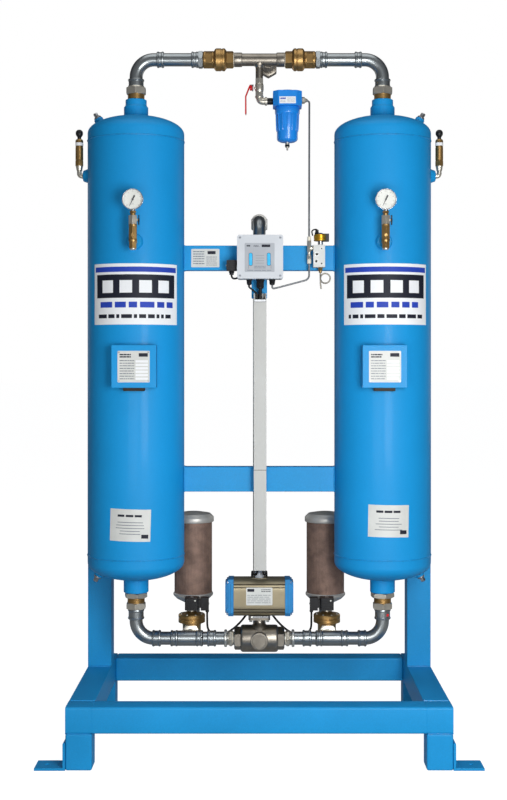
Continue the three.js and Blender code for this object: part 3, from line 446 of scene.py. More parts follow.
# ---------------------------------------------------------------- base frame
def rails():
    beam = AT["front_beam"]
    seam = AT["side_frame_right"].near
    form = Form("frame")
    for x0, x1 in ((beam.x0, -seam - 0.4), (-seam + 0.4, seam - 0.4), (seam + 0.4, beam.x1)):
        form.slab("x", (beam.y, beam.z), (BEAM, BEAM), 7, x0, x1, 6)
    for x in (-seam, seam):
        form.slab("x", (beam.y, beam.z), (BEAM - 1, BEAM - 1), 7, x - 1, x + 1, 6)
    piece("front_beam_tube", form, "front_beam", bevel=0.8)
    back = AT["rear_beam"]
    form = Form("frame").block(back.x0, back.x1, back.y0, back.y1, back.z0, back.z1)
    piece("rear_beam_tube", form, "rear_beam", bevel=6)


def side_frame(side, s, beam, back):
    rail, bed = AT[f"side_frame_{side}"], AT[f"desiccant_bed_{side}"]
    x0, x1 = s * rail.near, s * rail.far
    top = beam.z1
    up0, up1 = UPRIGHT
    stub0, stub1 = STUB_X
    form = Form("frame").block(x0, x1, rail.y0, rail.y1, beam.z0, top)
    form.block(x0, x1, up0, up1, top - 1, rail.z1 - 3).block(x0 + 2 * s, x1 - 2 * s, up0 + 2, up1 - 2,
                                                             rail.z1 - 6, rail.z1)
    shell = tower_radius(side)
    for z in STUB_LEVELS:
        outline = []
        for k in range(13):
            x = s * (stub0 + (stub1 - stub0) * k / 12)
            outline.append((x, bed.y + sqrt(shell ** 2 - (x - bed.x) ** 2) + 0.3))
        outline += [(s * stub1, up0 + 1), (s * stub0, up0 + 1)]
        form.prism("z", outline, z, z + BEAM)
    piece(f"side_frame_tubes_{side}", form, f"side_frame_{side}", bevel=6)
    bead = Form("weld")
    for y in (rail.y0, back.y0):
        bead.weld([(x0 + 2 * s, y, beam.z0 + 4), (x0 + 2 * s, y, top - 4)] if y > 0 else
                  [(x0, y, top - 1), (x1 - 5 * s, y, top - 1)], 3)
    bead.weld([(x0 + 4 * s, up0, top), (x1 - 4 * s, up0, top), (x1 - 4 * s, up1, top),
        (x0 + 4 * s, up1, top), (x0 + 4 * s, up0, top)], 3.4)
    for z in STUB_LEVELS:
        a, b = s * stub0, s * stub1
        bead.weld([(a, up0, z), (b, up0, z), (b, up0, z + BEAM), (a, up0, z + BEAM), (a, up0, z)], 3.2)
        seam = [s * (stub0 + 1.5 + 8 * k) for k in range(7)]
        for level in (z, z + BEAM):
            bead.weld([(x, bed.y + sqrt((shell + 1) ** 2 - (x - bed.x) ** 2), level) for x in seam], 3.2)
    piece(f"side_frame_welds_{side}", bead)
    for end in ("front", "rear"):
        foot_pieces(f"foot_{end}_{side}", s, beam)


def foot_pieces(foot, s, beam):
    box = AT[foot]
    x0, x1, tip = s * box.near, s * beam.x1, s * box.far
    form = Form("frame").block(x0, x1, box.y0, box.y1, 0, box.z1)
    piece(f"{foot}_leg", form, foot, bevel=6)
    plate = Form("frame").block(x1 + s * 0.2, x1 + 8 * s, box.y0, box.y1, 0, BEAM)
    plate.holed("z", (s * HOLE_X, box.y), (abs(tip - s * HOLE_X), BEAM / 2), 7, 0, 8)
    inner = s * HOLE_X - (tip - s * HOLE_X)
    plate.block(x1 + 7 * s, inner + 0.01 * s, box.y0, box.y1, 0, 8)
    piece(f"{foot}_angle", plate, bevel=1.2)
    bead = Form("weld").weld([(x1 + s * 4, box.y0 + 3, BEAM), (x1 + s * 4, box.y1 - 3, BEAM)], 3.4)
    bead.weld([(x1 + 3 * s, box.y0 + 3, 6), (x1 + 3 * s, box.y0 + 3, BEAM - 4)], 2.4)
    bead.weld([(x0 + 5 * s, box.y0 + 2.6, box.z1), (x1 - 5 * s, box.y0 + 2.6, box.z1)], 2.2)
    bead.weld([(x1 - 1 * s, box.y0 + 5, box.z1), (x1 - 1 * s, box.y1 - 5, box.z1)], 2.2)
    piece(f"{foot}_welds", bead)


def crossbeams():
    for level in ("upper", "lower"):
        box = AT[f"crossbeam_{level}"]
        low = box.z1 - BEAM
        front, back = CROSS_Y
        form = Form("frame")
        shell, bed = tower_radius("left"), AT["desiccant_bed_left"]
        outline = []
        for s in (1, -1):
            steps = [front + (back - front) * k / 8 for k in range(9)]
            for y in steps if s > 0 else reversed(steps):
                outline.append((s * (abs(bed.x) - sqrt(shell ** 2 - (y - bed.y) ** 2) - 0.3), y))
        form.prism("z", outline, low, box.z1)
        form.block(-25, 25, box.y0, front + 1, box.z0, box.z1 - (0 if level == "upper" else 0.2))
        form.block(-24, 24, back - 1, 36, low + 20, low + 60)
        piece(f"crossbeam_{level}_tube", form, f"crossbeam_{level}", bevel=5)
        bead = Form("weld")
        for s in (-1, 1):
            x = s * (abs(bed.x) - shell)
            bead.weld([(x - s * 1.5, front, low + 6), (x - s * 1.5, front, box.z1 - 6)], 2.6, 5)
            bead.weld([(x - s * 1, front + 4, box.z1 - 1), (x - s * 1, back - 4, box.z1 - 1)], 2.8)
            bead.weld([(x - s * 1, front + 4, low + 1), (x - s * 1, back - 4, low + 1)], 2.8)
        piece(f"crossbeam_{level}_welds", bead)
        clamp = Form("zinc")
        arc = [(24.5 * cos(a), RISER_Y + 24.5 * sin(a), low + 40) for a in
               [radians(180 - 180 * k / 20) for k in range(21)]]
        clamp.sweep([(-24.5, 38, low + 40), *arc, (24.5, 38, low + 40)], 2.4, 12)
        piece(f"riser_u_bolt_{level}", clamp)
    upper = AT["crossbeam_upper"]
    top, face = upper.z1, CROSS_Y[0] - 0.6
    label = Form("silver").slab("y", (-173, top - 40.5), (90, 59), 3, face, CROSS_Y[0])
    greek(label, -212, -176, top - 62, top - 16, face, 6, 0.34)
    greek(label, -170, -136, top - 66, top - 34, face, 5, 0.3)
    label.paint("navy").block(-166, -140, face - 0.15, face + 0.3, top - 28, top - 18)
    piece("crossbeam_plate", label)


# ---------------------------------------------------------------- towers
def tower_radius(side):
    return abs(AT[f"desiccant_bed_{side}"].x) - AT[f"tower_{side}"].near


def head(radius, rise, level, up, inner, steps=16):
    points = []
    for k in range(steps + 1):
        r = max(radius * sin(pi / 2 * k / steps), inner)
        if not points or r > points[-1][0]:
            points.append((r, level + up * rise * sqrt(max(1 - (r / radius) ** 2, 0))))
    return points


def tilted(form, mat, origin, direction, profile, seg=24):
    """A turned piece about a sloping axis."""
    axis = Vector(direction).normalized()
    side = axis.orthogonal().normalized()
    up = axis.cross(side)
    form.paint(mat)
    form.loops([[Vector(origin) + axis * h + side * (r * cos(a)) + up * (r * sin(a)) for a in around(seg)]
                for r, h in profile])


def tower(side, s):
    box, bed = AT[f"tower_{side}"], AT[f"desiccant_bed_{side}"]
    at, r = (bed.x, bed.y), tower_radius(side)
    low, high, rise = box.z0 + 99, box.z1 - 111, 58
    form = Form("paint")
    form.lathe("z", at, [(38, box.z0), (40, box.z0 + 2), *head(r, rise, low, -1, 40),
        *reversed(head(r, rise, high, 1, 39)), (39, box.z1 - 25), (34, box.z1 - 18), (34, box.z1 - 1.5),
        (32.5, box.z1)], 128)
    piece(f"tower_shell_{side}", form, f"tower_{side}", bevel=0.6, smooth=28)
    bead = Form("weld")
    for z in (low + 24, high - 24):
        bead.sweep([(at[0] + (r - 1.4) * sin(a), at[1] - (r - 1.4) * cos(a), z) for a in around(240, 1)],
                   3.0, 8, 0.16)
    for z, neck in ((low - rise + 3.2, 41), (high + rise - 3, 40)):
        bead.sweep([(at[0] + neck * sin(a), at[1] - neck * cos(a), z) for a in around(90, 1)], 3.4, 8, 0.14)
    bead.weld([(at[0] + (r + 0.2) * sin(2.6), at[1] - (r + 0.2) * cos(2.6), z)
               for z in (low + 30, high - 30)], 2.6, 6)
    piece(f"tower_welds_{side}", bead)
    tower_bosses(side, s, at, r, (low, high, rise))
    rating_plate(side, at, r)
    tower_labels(side, s, at, r)


def tower_bosses(side, s, at, r, levels):
    box, gx, zr = AT[f"tower_{side}"], AT[f"gauge_{side}"].x, AT[f"relief_valve_{side}"].z0 + 7.6
    low, high, rise = levels
    bosses = Form("paint")
    bosses.rod("x", (at[1], zr), s * (abs(at[0]) + r - 12), s * box.far, 26, 18, 40, 2)
    bosses.rod("y", (gx, GAUGE_BOSS_Z), at[1] - r + 12, at[1] - r - 13.5, 28, 23, 40, 2)
    for up, z in ((1, high + 34), (-1, low - 30)):
        lean = (s * 0.5, 0, up * 0.866)
        base = (at[0] + s * 113, at[1], z)
        tilted(bosses, "paint", base, lean, [(15, -20), (15, 17), (13.5, 20)])
        tilted(bosses, "machined", base, lean, [(12, 19), (12, 24), (10, 26)])
        tilted(bosses, "machined", base, lean, [(8, 26), (8, 37), (7, 39)], 6)
        ring = []
        for a in around(40, 1):
            x, y = base[0] + 17.5 * cos(a), at[1] + 16.5 * sin(a)
            d = min(hypot(x - at[0], y - at[1]), r - 0.5)
            level = (high if up > 0 else low) + up * rise * sqrt(1 - (d / r) ** 2)
            ring.append((x, y, level))
        bosses.paint("weld").sweep(ring, 3, 8, 0.14)
    piece(f"tower_bosses_{side}", bosses, bevel=0.6)


def rating_plate(side, at, r):
    """The plate and the folded stand that carries it clear of the shell."""
    gx, front = AT[f"gauge_{side}"].x, AT[f"tower_{side}"].y0
    stand, x0, x1 = Form("paint"), gx - 69, gx + 69
    stand.prism("z", [(x0, -198), (x0, front), (x1, front), (x1, -198), (x1 - 3, -198), (x1 - 3, front + 3),
                      (x0 + 3, front + 3), (x0 + 3, -198)], PLATE_Z - 65.5, PLATE_Z + 66.5)
    # Painted shadow: a dark strip under the stand, where the stand shades the shell.
    stand.paint("painted_shade").block(gx - 33, gx + 33, front + 5, 2 - r + at[1], PLATE_Z - 75.5, PLATE_Z - 63.5)
    piece(f"plate_stand_{side}", stand, bevel=1.6)
    z = PLATE_Z
    plate = Form("silver").slab("y", (gx, z), (99, 97), 2.5, front - 0.9, front)
    greek(plate, gx - 43, gx - 8, z + 26.5, z + 40.5, front - 0.9, 2, 0.6, "navy")
    plate.paint("navy").block(gx + 16, gx + 44, front - 1.05, front - 0.5, z + 30.5, z + 41.5)
    greek(plate, gx - 43, gx + 2, z - 41.5, z + 22.5, front - 0.9, 8, 0.3)
    plate.paint("label")
    for k in range(6):
        plate.block(gx + 6, gx + 44, front - 1.05, front - 0.5, z - 40.5 + 10.6 * k, z - 33.5 + 10.6 * k)
    for px in (-45.5, 45.5):
        for pz in (-44, 44):
            plate.paint("machined").lathe("y", (gx + px, z + pz), [(2.6, 0), (2.4, -1.4), (1.4, -2.3)],
                                          16, base=front)
    piece(f"rating_plate_{side}", plate)


def tower_labels(side, s, at, r):
    """Plain printed sheets: blocks and bars only."""
    turn = 0.085 if s < 0 else -0.005
    z, half, wide = 1435, 95, r * radians(56)
    sheet = Form("label").patch(at, r, z, (-wide, wide), (-half, half), 0.25, 0.3, 0, turn)
    sheet.paint("cobalt").patch(at, r, z, (-wide + 6, wide - 6), (half - 26, half - 10), 0.45, 0.2, 0, turn)
    sheet.paint("navy").patch(at, r, z, (-wide + 14, wide - 14), (-12, half - 34), 0.45, 0.2, 0, turn)
    sheet.paint("label")
    marks = 4
    pitch = (2 * wide - 56) / marks
    for k in range(marks):
        u = -wide + 28 + pitch * k
        sheet.patch(at, r, z, (u + 11, u + pitch - 11), (4, half - 52), 0.65, 0.2, 0, turn)
    sheet.paint("cobalt")
    u = -wide + 30
    while u < wide - 36:
        w = RNG.choice((26, 36, 46))
        sheet.patch(at, r, z, (u, min(u + w, wide - 22)), (-42, -24), 0.45, 0.2, 0, turn)
        u += w + 9
    sheet.paint("navy")
    u = -wide + 22
    while u < wide - 26:
        w = RNG.choice((10, 22, 34))
        sheet.patch(at, r, z, (u, u + w), (-75, -63), 0.45, 0.2, 0, turn)
        u += w + 6
    piece(f"tower_label_{side}", sheet)
    lean, turn, z = (-0.03, -0.03, 716) if s < 0 else (-0.02, 0.035, 729)
    wide = r * radians(24)
    small = Form("silver").patch(at, r, z, (-wide, wide), (-50, 50), 0.25, 0.3, lean, turn)
    small.paint("navy")
    for u0, u1 in ((-40, -18), (-14, 10), (14, 36)):
        small.patch(at, r, z, (u0, u1), (26, 33), 0.45, 0.2, lean, turn)
    small.paint("grey_print")
    for k in range(5):
        v = 8 - 9 * k
        half = RNG.uniform(30, 46)
        small.patch(at, r, z, (-half, half), (v, v + 2), 0.45, 0.2, lean, turn)
    small.paint("navy").patch(at, r, z, (36, 58), (-40, -28), 0.45, 0.2, lean, turn)
    piece(f"service_label_{side}", small)


# ---------------------------------------------------------------- piping
def socket(form, axis, at, h0, h1, wall=3.6):
    """A press-fit socket: a collar with a raised bead at each end."""
    lo, hi = min(h0, h1), max(h0, h1)
    rim, bead, neck = PIPE_R + wall, PIPE_R + wall + 1.4, PIPE_R + wall - 0.6
    form.ring(axis, at, [(PIPE_R, lo), (rim, lo + 0.5), (bead, lo + 3), (bead, lo + 6), (neck, lo + 8),
                         (neck, hi - 8), (bead, hi - 6), (bead, hi - 3), (rim, hi - 0.5), (PIPE_R, hi)])


def top_run(side, s):
    box, bed = AT[f"top_elbow_{side}"], AT[f"desiccant_bed_{side}"]
    at, z = (bed.x, bed.y), TOP_LINE
    axis = (bed.y, z)
    run = bends([(*at, box.z0 + 12), (*at, z), (s * box.near, at[1], z)], BEND_R, 20)
    form = Form("pipe").sweep(run, PIPE_R, 40)
    socket(form, "z", at, box.z0 + 38, box.z0 + 67)
    socket(form, "x", axis, s * 307, s * 330)
    socket(form, "x", axis, s * 196, s * 219)
    form.paint("nickel").nut("z", at, box.z0 + 17, box.z0 + 40, 60)
    form.rod("z", at, box.z0 + 39, box.z0 + 44, 27.5, 26, 48)
    form.paint("brass").rod("z", at, box.z0, box.z0 + 20, 27, soft=2)
    form.paint("pipe").nut("x", axis, s * box.near, s * 197, 51, pi / 6)
    piece(f"top_elbow_piping_{side}", form, f"top_elbow_{side}", bevel=0.5)
    brass = Form("brass").nut("x", axis, s * 181, s * 143, 49)
    brass.nut("x", axis, s * 109, s * 83, 49)
    brass.lathe("x", axis, [(24, 104), (29, 106), (33, 109), (36.2, 112), (36.2, 118), (34.6, 119.5),
        (34.6, 122), (36.2, 123.5), (36.2, 139), (33, 143), (27, 146)], 64, way=s)
    brass.rod("x", axis, s * 148, s * 152, 27.4)
    brass.rod("x", axis, s * 172, s * 178, 27.2)
    brass.paint("gasket").rod("x", axis, s * 81, s * 83.4, 24)
    piece(f"check_valve_body_{side}", brass, f"check_valve_{side}", bevel=0.5)


def manifold():
    box = AT["outlet_manifold"]
    y, z, half = AXIS_Y, TOP_LINE, box.x1
    axis = (y, z)
    form = Form("stainless").rod("x", axis, -half, half, 20, seg=48)
    for s in (-1, 1):
        form.ring("x", axis, [(19, s * (half - 26)), (22, s * (half - 25)), (23, s * (half - 23)),
            (23, s * (half - 1)), (22, s * half), (15, s * half)])
    form.lathe("z", (0, y), [(12, -27), (13.5, -23), (17, -19), (18, -12)], base=z)
    form.rod("z", (0, y), box.z0, z - 20, 12)
    form.rod("y", (30, z), y, box.y1 - 30, 20, seg=40)
    form.nut("y", (30, z), box.y1 - 33, box.y1, 54, bore=16)
    # Painted shade: a dark plug inside the outlet port's bore.
    form.paint("painted_shade").rod("y", (30, z), box.y1 - 31, box.y1 - 12, 15.9)
    form.paint("stainless").sweep([(30 + 20.6 * cos(a), y + 20 - 4 * abs(cos(a)), z + 20.6 * sin(a))
                                   for a in around(48, 1)], 2.2, 8, 0.14)
    piece("outlet_manifold_pipe", form, "outlet_manifold", bevel=0.5)


def pilot_valve():
    box, lever, y = AT["pilot_ball_valve"], AT["pilot_valve_lever"], AXIS_Y
    at, low, stem = (0, y), PILOT_LINE, (y, lever.z1 - 10)
    form = Form("nickel").nut("z", at, low + 57, box.z1, 24.6)
    form.nut("z", at, low + 13, low + 30, 24.6)
    form.lathe("z", at, [(11, 27), (13, 31), (14, 37), (14, 49), (13, 55), (11, 59)], base=low)
    form.rod("x", stem, 0, -14, 8)
    form.rod("x", stem, -13, -17, 4)
    form.sweep(bends([(0, y, low + 15), (0, y, low), (26, y, low)], 11, 10), 11, 28)
    form.ring("z", at, [(10, 11), (13.4, 11), (14, 14), (13.4, 17), (10, 17)], base=low)
    form.rod("x", (y, low), 18, 25, 13.6)
    form.paint("black").rod("x", (y, low), 24, box.x1, 10.5)
    for k in range(4):
        form.ring("x", (y, low), [(9, 0), (11.3, 1), (11.3, 2.4), (9, 3.4)], 28, base=27 + 4 * k)
    piece("pilot_ball_valve_body", form, "pilot_ball_valve", bevel=0.4)
    grip = Form("red")
    top, tip = lever.z1, lever.z0
    grip.prism("y", [(-26, top), (-31, top - 1), (-35, top - 9), (-46, top - 38), (-46, tip + 5),
        (-44, tip), (-42.6, tip), (-41, tip + 5), (-41.4, top - 36), (-31.5, top - 11), (-28.5, top - 5),
        (-26, top - 5)], y - 8.6, y + 8.6)
    grip.rod("x", stem, -30.5, -19, 8.4, seg=40)
    grip.paint("machined").block(-30, -18.3, y - 8.8, y + 8.8, top - 2.6, top - 0.4)
    grip.block(-22.6, -19.6, y - 8.8, y + 8.8, top - 19, top - 1)
    grip.nut("x", stem, -27, -22.4, 10)
    piece("pilot_valve_grip", grip, "pilot_valve_lever", "pilot_lever", 1.1)


def pilot_filter():
    headbox, bowl, y = AT["filter_head"], AT["filter_bowl"], AXIS_Y
    fx, half = bowl.x, headbox.x1 - bowl.x
    c = half - 17
    outline = [(c, half), (-c, half), (-half, c), (-half, -c), (-c, -half), (c, -half), (half, -c),
        (half, c)]
    form = Form("filter").prism("z", [(fx + a, y + b) for a, b in outline], headbox.z0, headbox.z1 - 4)
    form.lathe("z", (fx, y), [(33, -5), (33, -1.5), (31, 0), (24, 0), (22, -1.5)], 56, base=headbox.z1)
    front = y - half
    form.paint("label").block(fx - 26, fx + 26, front - 0.3, front + 0.5, headbox.z0 + 5, headbox.z0 + 27)
    form.paint("cobalt").block(fx - 23, fx - 6, front - 0.45, front, headbox.z0 + 19, headbox.z0 + 23)
    greek(form, fx - 23, fx - 6, headbox.z0 + 8, headbox.z0 + 17, front - 0.3, 3, 0.22)
    greek(form, fx - 1, fx + 23, headbox.z0 + 8, headbox.z0 + 24, front - 0.3, 5, 0.22)
    # Painted shade: dark rings on the port faces stand for the shaded openings.
    form.paint("painted_shade")
    for s in (-1, 1):
        face = fx + s * half
        form.ring("x", (y, PORT_Z), [(10, 0), (14.5, 0), (14.5, 0.25), (10, 0.25)], 32, base=face, way=s)
    piece("filter_head_block", form, "filter_head", bevel=2.2)
    top, low = bowl.z1, bowl.z0
    form = Form("filter").lathe("z", (fx, y), [(39, 0), (40, -1.5), (40, -17), (39, -21), (36.4, -24),
        (34.6, -74), (33.6, -78), (33.6, -102), (31, -107), (24, -111), (10, -113)], 72, base=top)
    for a in around(14):
        a += pi / 14
        form.sweep([(fx + rib * cos(a), y + rib * sin(a), top - drop)
                    for rib, drop in ((36.6, 22), (36.6, 26), (35, 70), (33.4, 77))], 2.2, 10)
    for a in around(20):
        form.sweep([(fx + 39 * cos(a), y + 39 * sin(a), top - drop) for drop in (3, 16)], 1.0, 8)
    form.paint("nickel").rod("z", (fx, y), low + 9, top - 112, 7)
    form.rod("z", (fx, y), low, low + 10, 3)
    form.paint("black").nut("z", (fx, y), low + 12, low + 18, 15)
    piece("filter_bowl_cup", form, "filter_bowl", bevel=0.5)


def pilot_tube():
    tube, y, z = AT["pilot_tube"], AXIS_Y, PORT_Z
    x, drop = tube.x0, AT["solenoid_valve"].x0 + 6.7
    run = [(x + 8, y, z), (drop + 2.3, y, z - 3), (drop, PILOT_Y, 1700), (drop, PILOT_Y, tube.z0)]
    form = Form("nickel").nut("x", (y, z), x, x + 9.5, 19.6).rod("x", (y, z), x + 9, x + 19, 8, 4.4)
    form.paint("tube").sweep(bends(run, 7, 10), 3, 18)
    piece("pilot_tube_run", form, "pilot_tube", bevel=0.4)


def bottom_run(side, s):
    box, bed = AT[f"bottom_elbow_{side}"], AT[f"desiccant_bed_{side}"]
    y, z, collar, union = AXIS_Y, LOW_LINE, 395, 428
    axis, at, ex = (y, z), (bed.x, bed.y), AT[f"silencer_{side}"].x
    run = bends([(*at, box.z1 - 12), (*at, z), (s * box.near, at[1], z)], BEND_R, 20)
    form = Form("pipe").sweep(run, PIPE_R, 40)
    socket(form, "z", at, collar, collar + 34, 4)
    socket(form, "x", axis, s * 317, s * 345, 4)
    socket(form, "x", axis, s * 262, s * 286)
    socket(form, "x", axis, s * 182, s * 204)
    form.rod("x", axis, s * 262, s * 204, 24.4, seg=48)
    socket(form, "x", axis, s * 139, s * 168, 4)
    form.rod("y", (ex, z), y, -30, 23.6, seg=40)
    form.paint("nickel").nut("z", at, union + 37, box.z1, 68, 0.2)
    form.nut("z", at, union, union + 21, 59)
    form.nut("y", (ex, z + 3), -29, box.y1, 61, pi / 6)
    form.paint("brass").rod("z", at, union + 20, union + 38, 27)
    for k in range(5):
        form.ring("z", at, [(26, 0), (27.8, 1), (27.8, 1.8), (26, 2.8)], 40, base=union + 22.5 + 3 * k)
    form.paint("zinc").rod("x", axis, s * 104, s * 113, 28, seg=56, soft=2)
    form.paint("gasket").rod("x", axis, s * 83, s * 86, 22.6, seg=40)
    form.paint("nickel").nut("x", axis, s * 86, s * 97, 47, pi / 6)
    for h in (96.8, 100):
        form.ring("x", axis, [(20, h), (22.4, h + 1), (22.4, h + 2), (20, h + 3.2)], 36, way=s)
    if s > 0:
        form.paint("red").slab("z", (at[0] + 14, at[1] - 20.6), (9, 2.4), 0.8, collar + 12, collar + 20)
    piece(f"bottom_elbow_piping_{side}", form, f"bottom_elbow_{side}", bevel=0.5)
    tie = Form("black")
    ring = [(s * 183, y + 22.6 * cos(a), z + 22.6 * sin(a)) for a in around(40, 1)]
    tie.sweep(ring, 1.8, 8).block(s * 183 - 3, s * 183 + 3, y - 27, y - 21, z + 4, z + 10)
    piece(f"cable_tie_{side}", tie, bevel=0.3)


def switching_valve():
    valve, y, z, pad = AT["switching_valve_body"], AXIS_Y, LOW_LINE, 397
    axis = (y, z)
    form = Form("stainless").lathe("x", axis, [(36, -60), (40, -59), (42.6, -56), (43.4, -52), (43.4, 52),
        (42.6, 56), (40, 59), (36, 60)], 80)
    for s in (-1, 1):
        form.nut("x", axis, s * 57, s * 80.7, 65)
        form.lathe("x", axis, [(38, s * 54), (38, s * 58)], 56)
    front, back = y - 53, valve.y1
    form.lathe("y", (0, z), [(28, y), (28, front + 2), (26.5, front + 0.3), (22, front),
        (21, front + 1.2)], 56)
    form.rod("y", (0, z), y, back - 18, 27, seg=48)
    form.nut("y", (0, z), back - 20, back, 53)
    form.lathe("z", (0, y), [(32, 30), (24, 43), (17, 49), (14, 55), (15, 64), (22, 68)], 48, base=z)
    form.slab("z", (0, y), (70, 70), 10, pad, pad + 7)
    form.paint("machined").slab("z", (0, y), (70, 70), 10, pad + 7.3, pad + 13.6).paint("zinc")
    for a, b in ((-27, -27), (27, -27), (-27, 27), (27, 27)):
        form.nut("z", (a, y + b), pad - 6, pad, 10)
    form.nut("y", (-24, pad + 10), y - 38, y - 35, 6)
    piece("switching_valve_casting", form, "switching_valve_body", bevel=0.7)


def actuator_barrel():
    box, y, corner = AT["actuator_body"], AXIS_Y, 22
    z0, z1, half = box.z0, box.z1, box.y1 - y
    middle, tall = (z0 + z1) / 2, (z1 - z0) / 2

    def crown(level):
        return -half + 17 * abs((level - middle) / tall) ** 6

    grooves = (z0 + 14, z0 + 24, z1 - 24, z1 - 14)
    face = [(crown(z0 + 6), z0 + 6)]
    for k in range(1, 24):
        level = z0 + 6 + (z1 - z0 - 12) * k / 24
        if all(abs(level - g) > 2.4 for g in grooves):
            face.append((crown(level), level))
    for g in grooves:
        face += [(crown(g) + d, g + e) for d, e in ((0, -1.6), (2.6, -1.0), (2.6, 1.0), (0, 1.6))]
    face.sort(key=lambda p: p[1])
    face.append((crown(z1 - 6), z1 - 6))
    outer = [(-half + corner, z0), *face, (-half + corner, z1)]
    outline = [*outer, *[(-a, b) for a, b in reversed(outer)]]
    form = Form("bronze").prism("x", [(y + a, b) for a, b in outline], box.x0, box.x1)
    # Painted shade: dark strips laid in the grooves.
    form.paint("painted_shade")
    for g in grooves:
        for k in (-1, 1):
            yy = sorted((y - k * (crown(g) + 2.2), y - k * (crown(g) + 2.9)))
            form.block(box.x0 + 0.5, box.x1 - 0.5, *yy, g - 1, g + 1)
    piece("actuator_barrel", form, "actuator_body", bevel=0.6)
    front = y - half
    plate = Form("silver").slab("y", (0, middle + 7), (84, 56), 3, front - 0.4, front + 1.6)
    plate.paint("navy").block(-38, -16, front - 0.55, front, middle + 22, middle + 31)
    greek(plate, 6, 36, middle + 20, middle + 31, front - 0.4, 2, 0.4, "navy")
    greek(plate, -38, 36, middle - 16, middle + 14, front - 0.4, 5, 0.26)
    piece("actuator_label", plate)
    edge = Form("bronze").slab("z", (0, y), (56, 44), 6, z1 - 0.3, z1 + 0.9)
    piece("actuator_top_pad", edge, bevel=0.2)


def pinion():
    """The shaft, toothed between the pistons' racks, with its position marker on top."""
    teeth, y, rack0, rack1, hub = AT["actuator_pinion"], AXIS_Y, 435, 490, 530
    top = teeth.z1
    shaft = Form("machined").rod("z", (0, y), teeth.z0, rack0 + 1, 16.8, seg=48)
    profile = []
    for middle in around(14):
        for r, w in ((11.9, 1.75), (15.5, 0.8), (15.5, -0.8), (11.9, -1.75)):
            a = middle + pi / 2 - w / r
            profile.append((r * cos(a), y + r * sin(a)))
    shaft.prism("z", profile, rack0, rack1).rod("z", (0, y), rack1 - 2, hub, 10.8, seg=40)
    shaft.paint("panel").lathe("z", (0, y), [(14.4, -0.7), (15, 1), (15, 10), (14, 14), (11, 18), (6, 20)],
                               48, base=hub)
    shaft.paint("label").block(-1.6, 1.6, y - 14.6, y + 14.6, top - 8, top - 6.6)
    piece("pinion_shaft", shaft, "actuator_pinion", "rotor", 0.3)


def end_cap(side, s):
    """Three stepped plates with cut corners and a screw in each corner."""
    box, cap, y = AT["actuator_body"], AT[f"actuator_cap_{side}"], AXIS_Y
    half, z0, z1 = box.y1 - y, box.z0, box.z1
    form = Form("cap")
    for inset, h0, h1 in ((0, cap.near, 99.5), (4, 99, 105), (9, 104, cap.far)):
        a, lo, hi, cut = half - inset, z0 + inset, z1 - inset, 12
        form.prism("x", [(y + p, q) for p, q in (
            (a - cut, lo), (a, lo + cut), (a, hi - cut), (a - cut, hi), (-a + cut, hi), (-a, hi - cut),
            (-a, lo + cut), (-a + cut, lo))], s * h0, s * h1)
    front = y - half
    # Painted shade: a dark line down the front face near the cap's inner end.
    form.paint("painted_shade").block(*sorted((s * 91, s * 92.2)), front - 0.01, front + 0.6, z0 + 12, z1 - 12)
    for b, q in ((-1, -1), (1, -1), (-1, 1), (1, 1)):
        cy, cz = y + b * (half - 8.6), (z0 + z1) / 2 + q * ((z1 - z0) / 2 - 8.6)
        screw(form, "x", (cy, cz), s * 99.4, s, 4.4, "chrome")
    piece(f"actuator_end_cap_{side}", form, f"actuator_cap_{side}", bevel=1.6)


# ---------------------------------------------------------------- purge exhausts
def exhaust_valve(side, s):
    box, x, y, z = AT[f"exhaust_valve_{side}"], AT[f"silencer_{side}"].x, EXHAUST_Y, LOW_LINE
    cover, coil = 356, 406
    foot = z - 12 - cover
    form = Form("brass").lathe("y", (x, z), [(26, box.y0), (27, box.y0 + 1.5), (27, box.y0 + 16),
        (24, box.y0 + 20), (24, box.y1 - 20), (27, box.y1 - 16), (27, box.y1 - 1.5), (26, box.y1)], 40)
    form.lathe("z", (x, y), [(20, foot - 12), (30, foot), (30, 0), (34, 6), (44, 9), (44, 20),
        (42.6, 21.4), (42.6, 22.6), (44, 24), (44, 33), (41, 36), (24, 38), (15, 43)], 64, base=cover)
    for a in around(8):
        a += pi / 8
        screw(form, "z", (x + 36 * cos(a), y + 36 * sin(a)), cover + 35.4, 1, 3.4)
    form.paint("zinc").rod("z", (x, y), coil - 10, coil + 4, 8)
    form.paint("black").slab("z", (x, y), (44, 44), 4, coil, box.z1 - 1)
    form.block(*sorted((x - s * 20, x - s * 32)), y - 10, y + 10, coil + 6, coil + 34)
    form.block(*sorted((x - s * 30, x - s * 56)), y - 14, y + 14, coil - 2, box.z1 - 1)
    for k in range(3):
        form.block(x - 18, x + 18, y - 23, y + 23, coil + 8 + 9 * k, coil + 9.4 + 9 * k)
    form.rod("z", (x - s * 51, y), coil - 9, coil - 1, 6)
    form.paint("zinc").nut("z", (x, y), box.z1 - 2, box.z1, 12)
    screw(form, "x", (y, coil + 19), x - s * 56, -s, 3)
    screw(form, "y", (x + 12, coil + 32), y - 22, -1, 3)
    piece(f"exhaust_valve_parts_{side}", form, f"exhaust_valve_{side}", bevel=0.8)


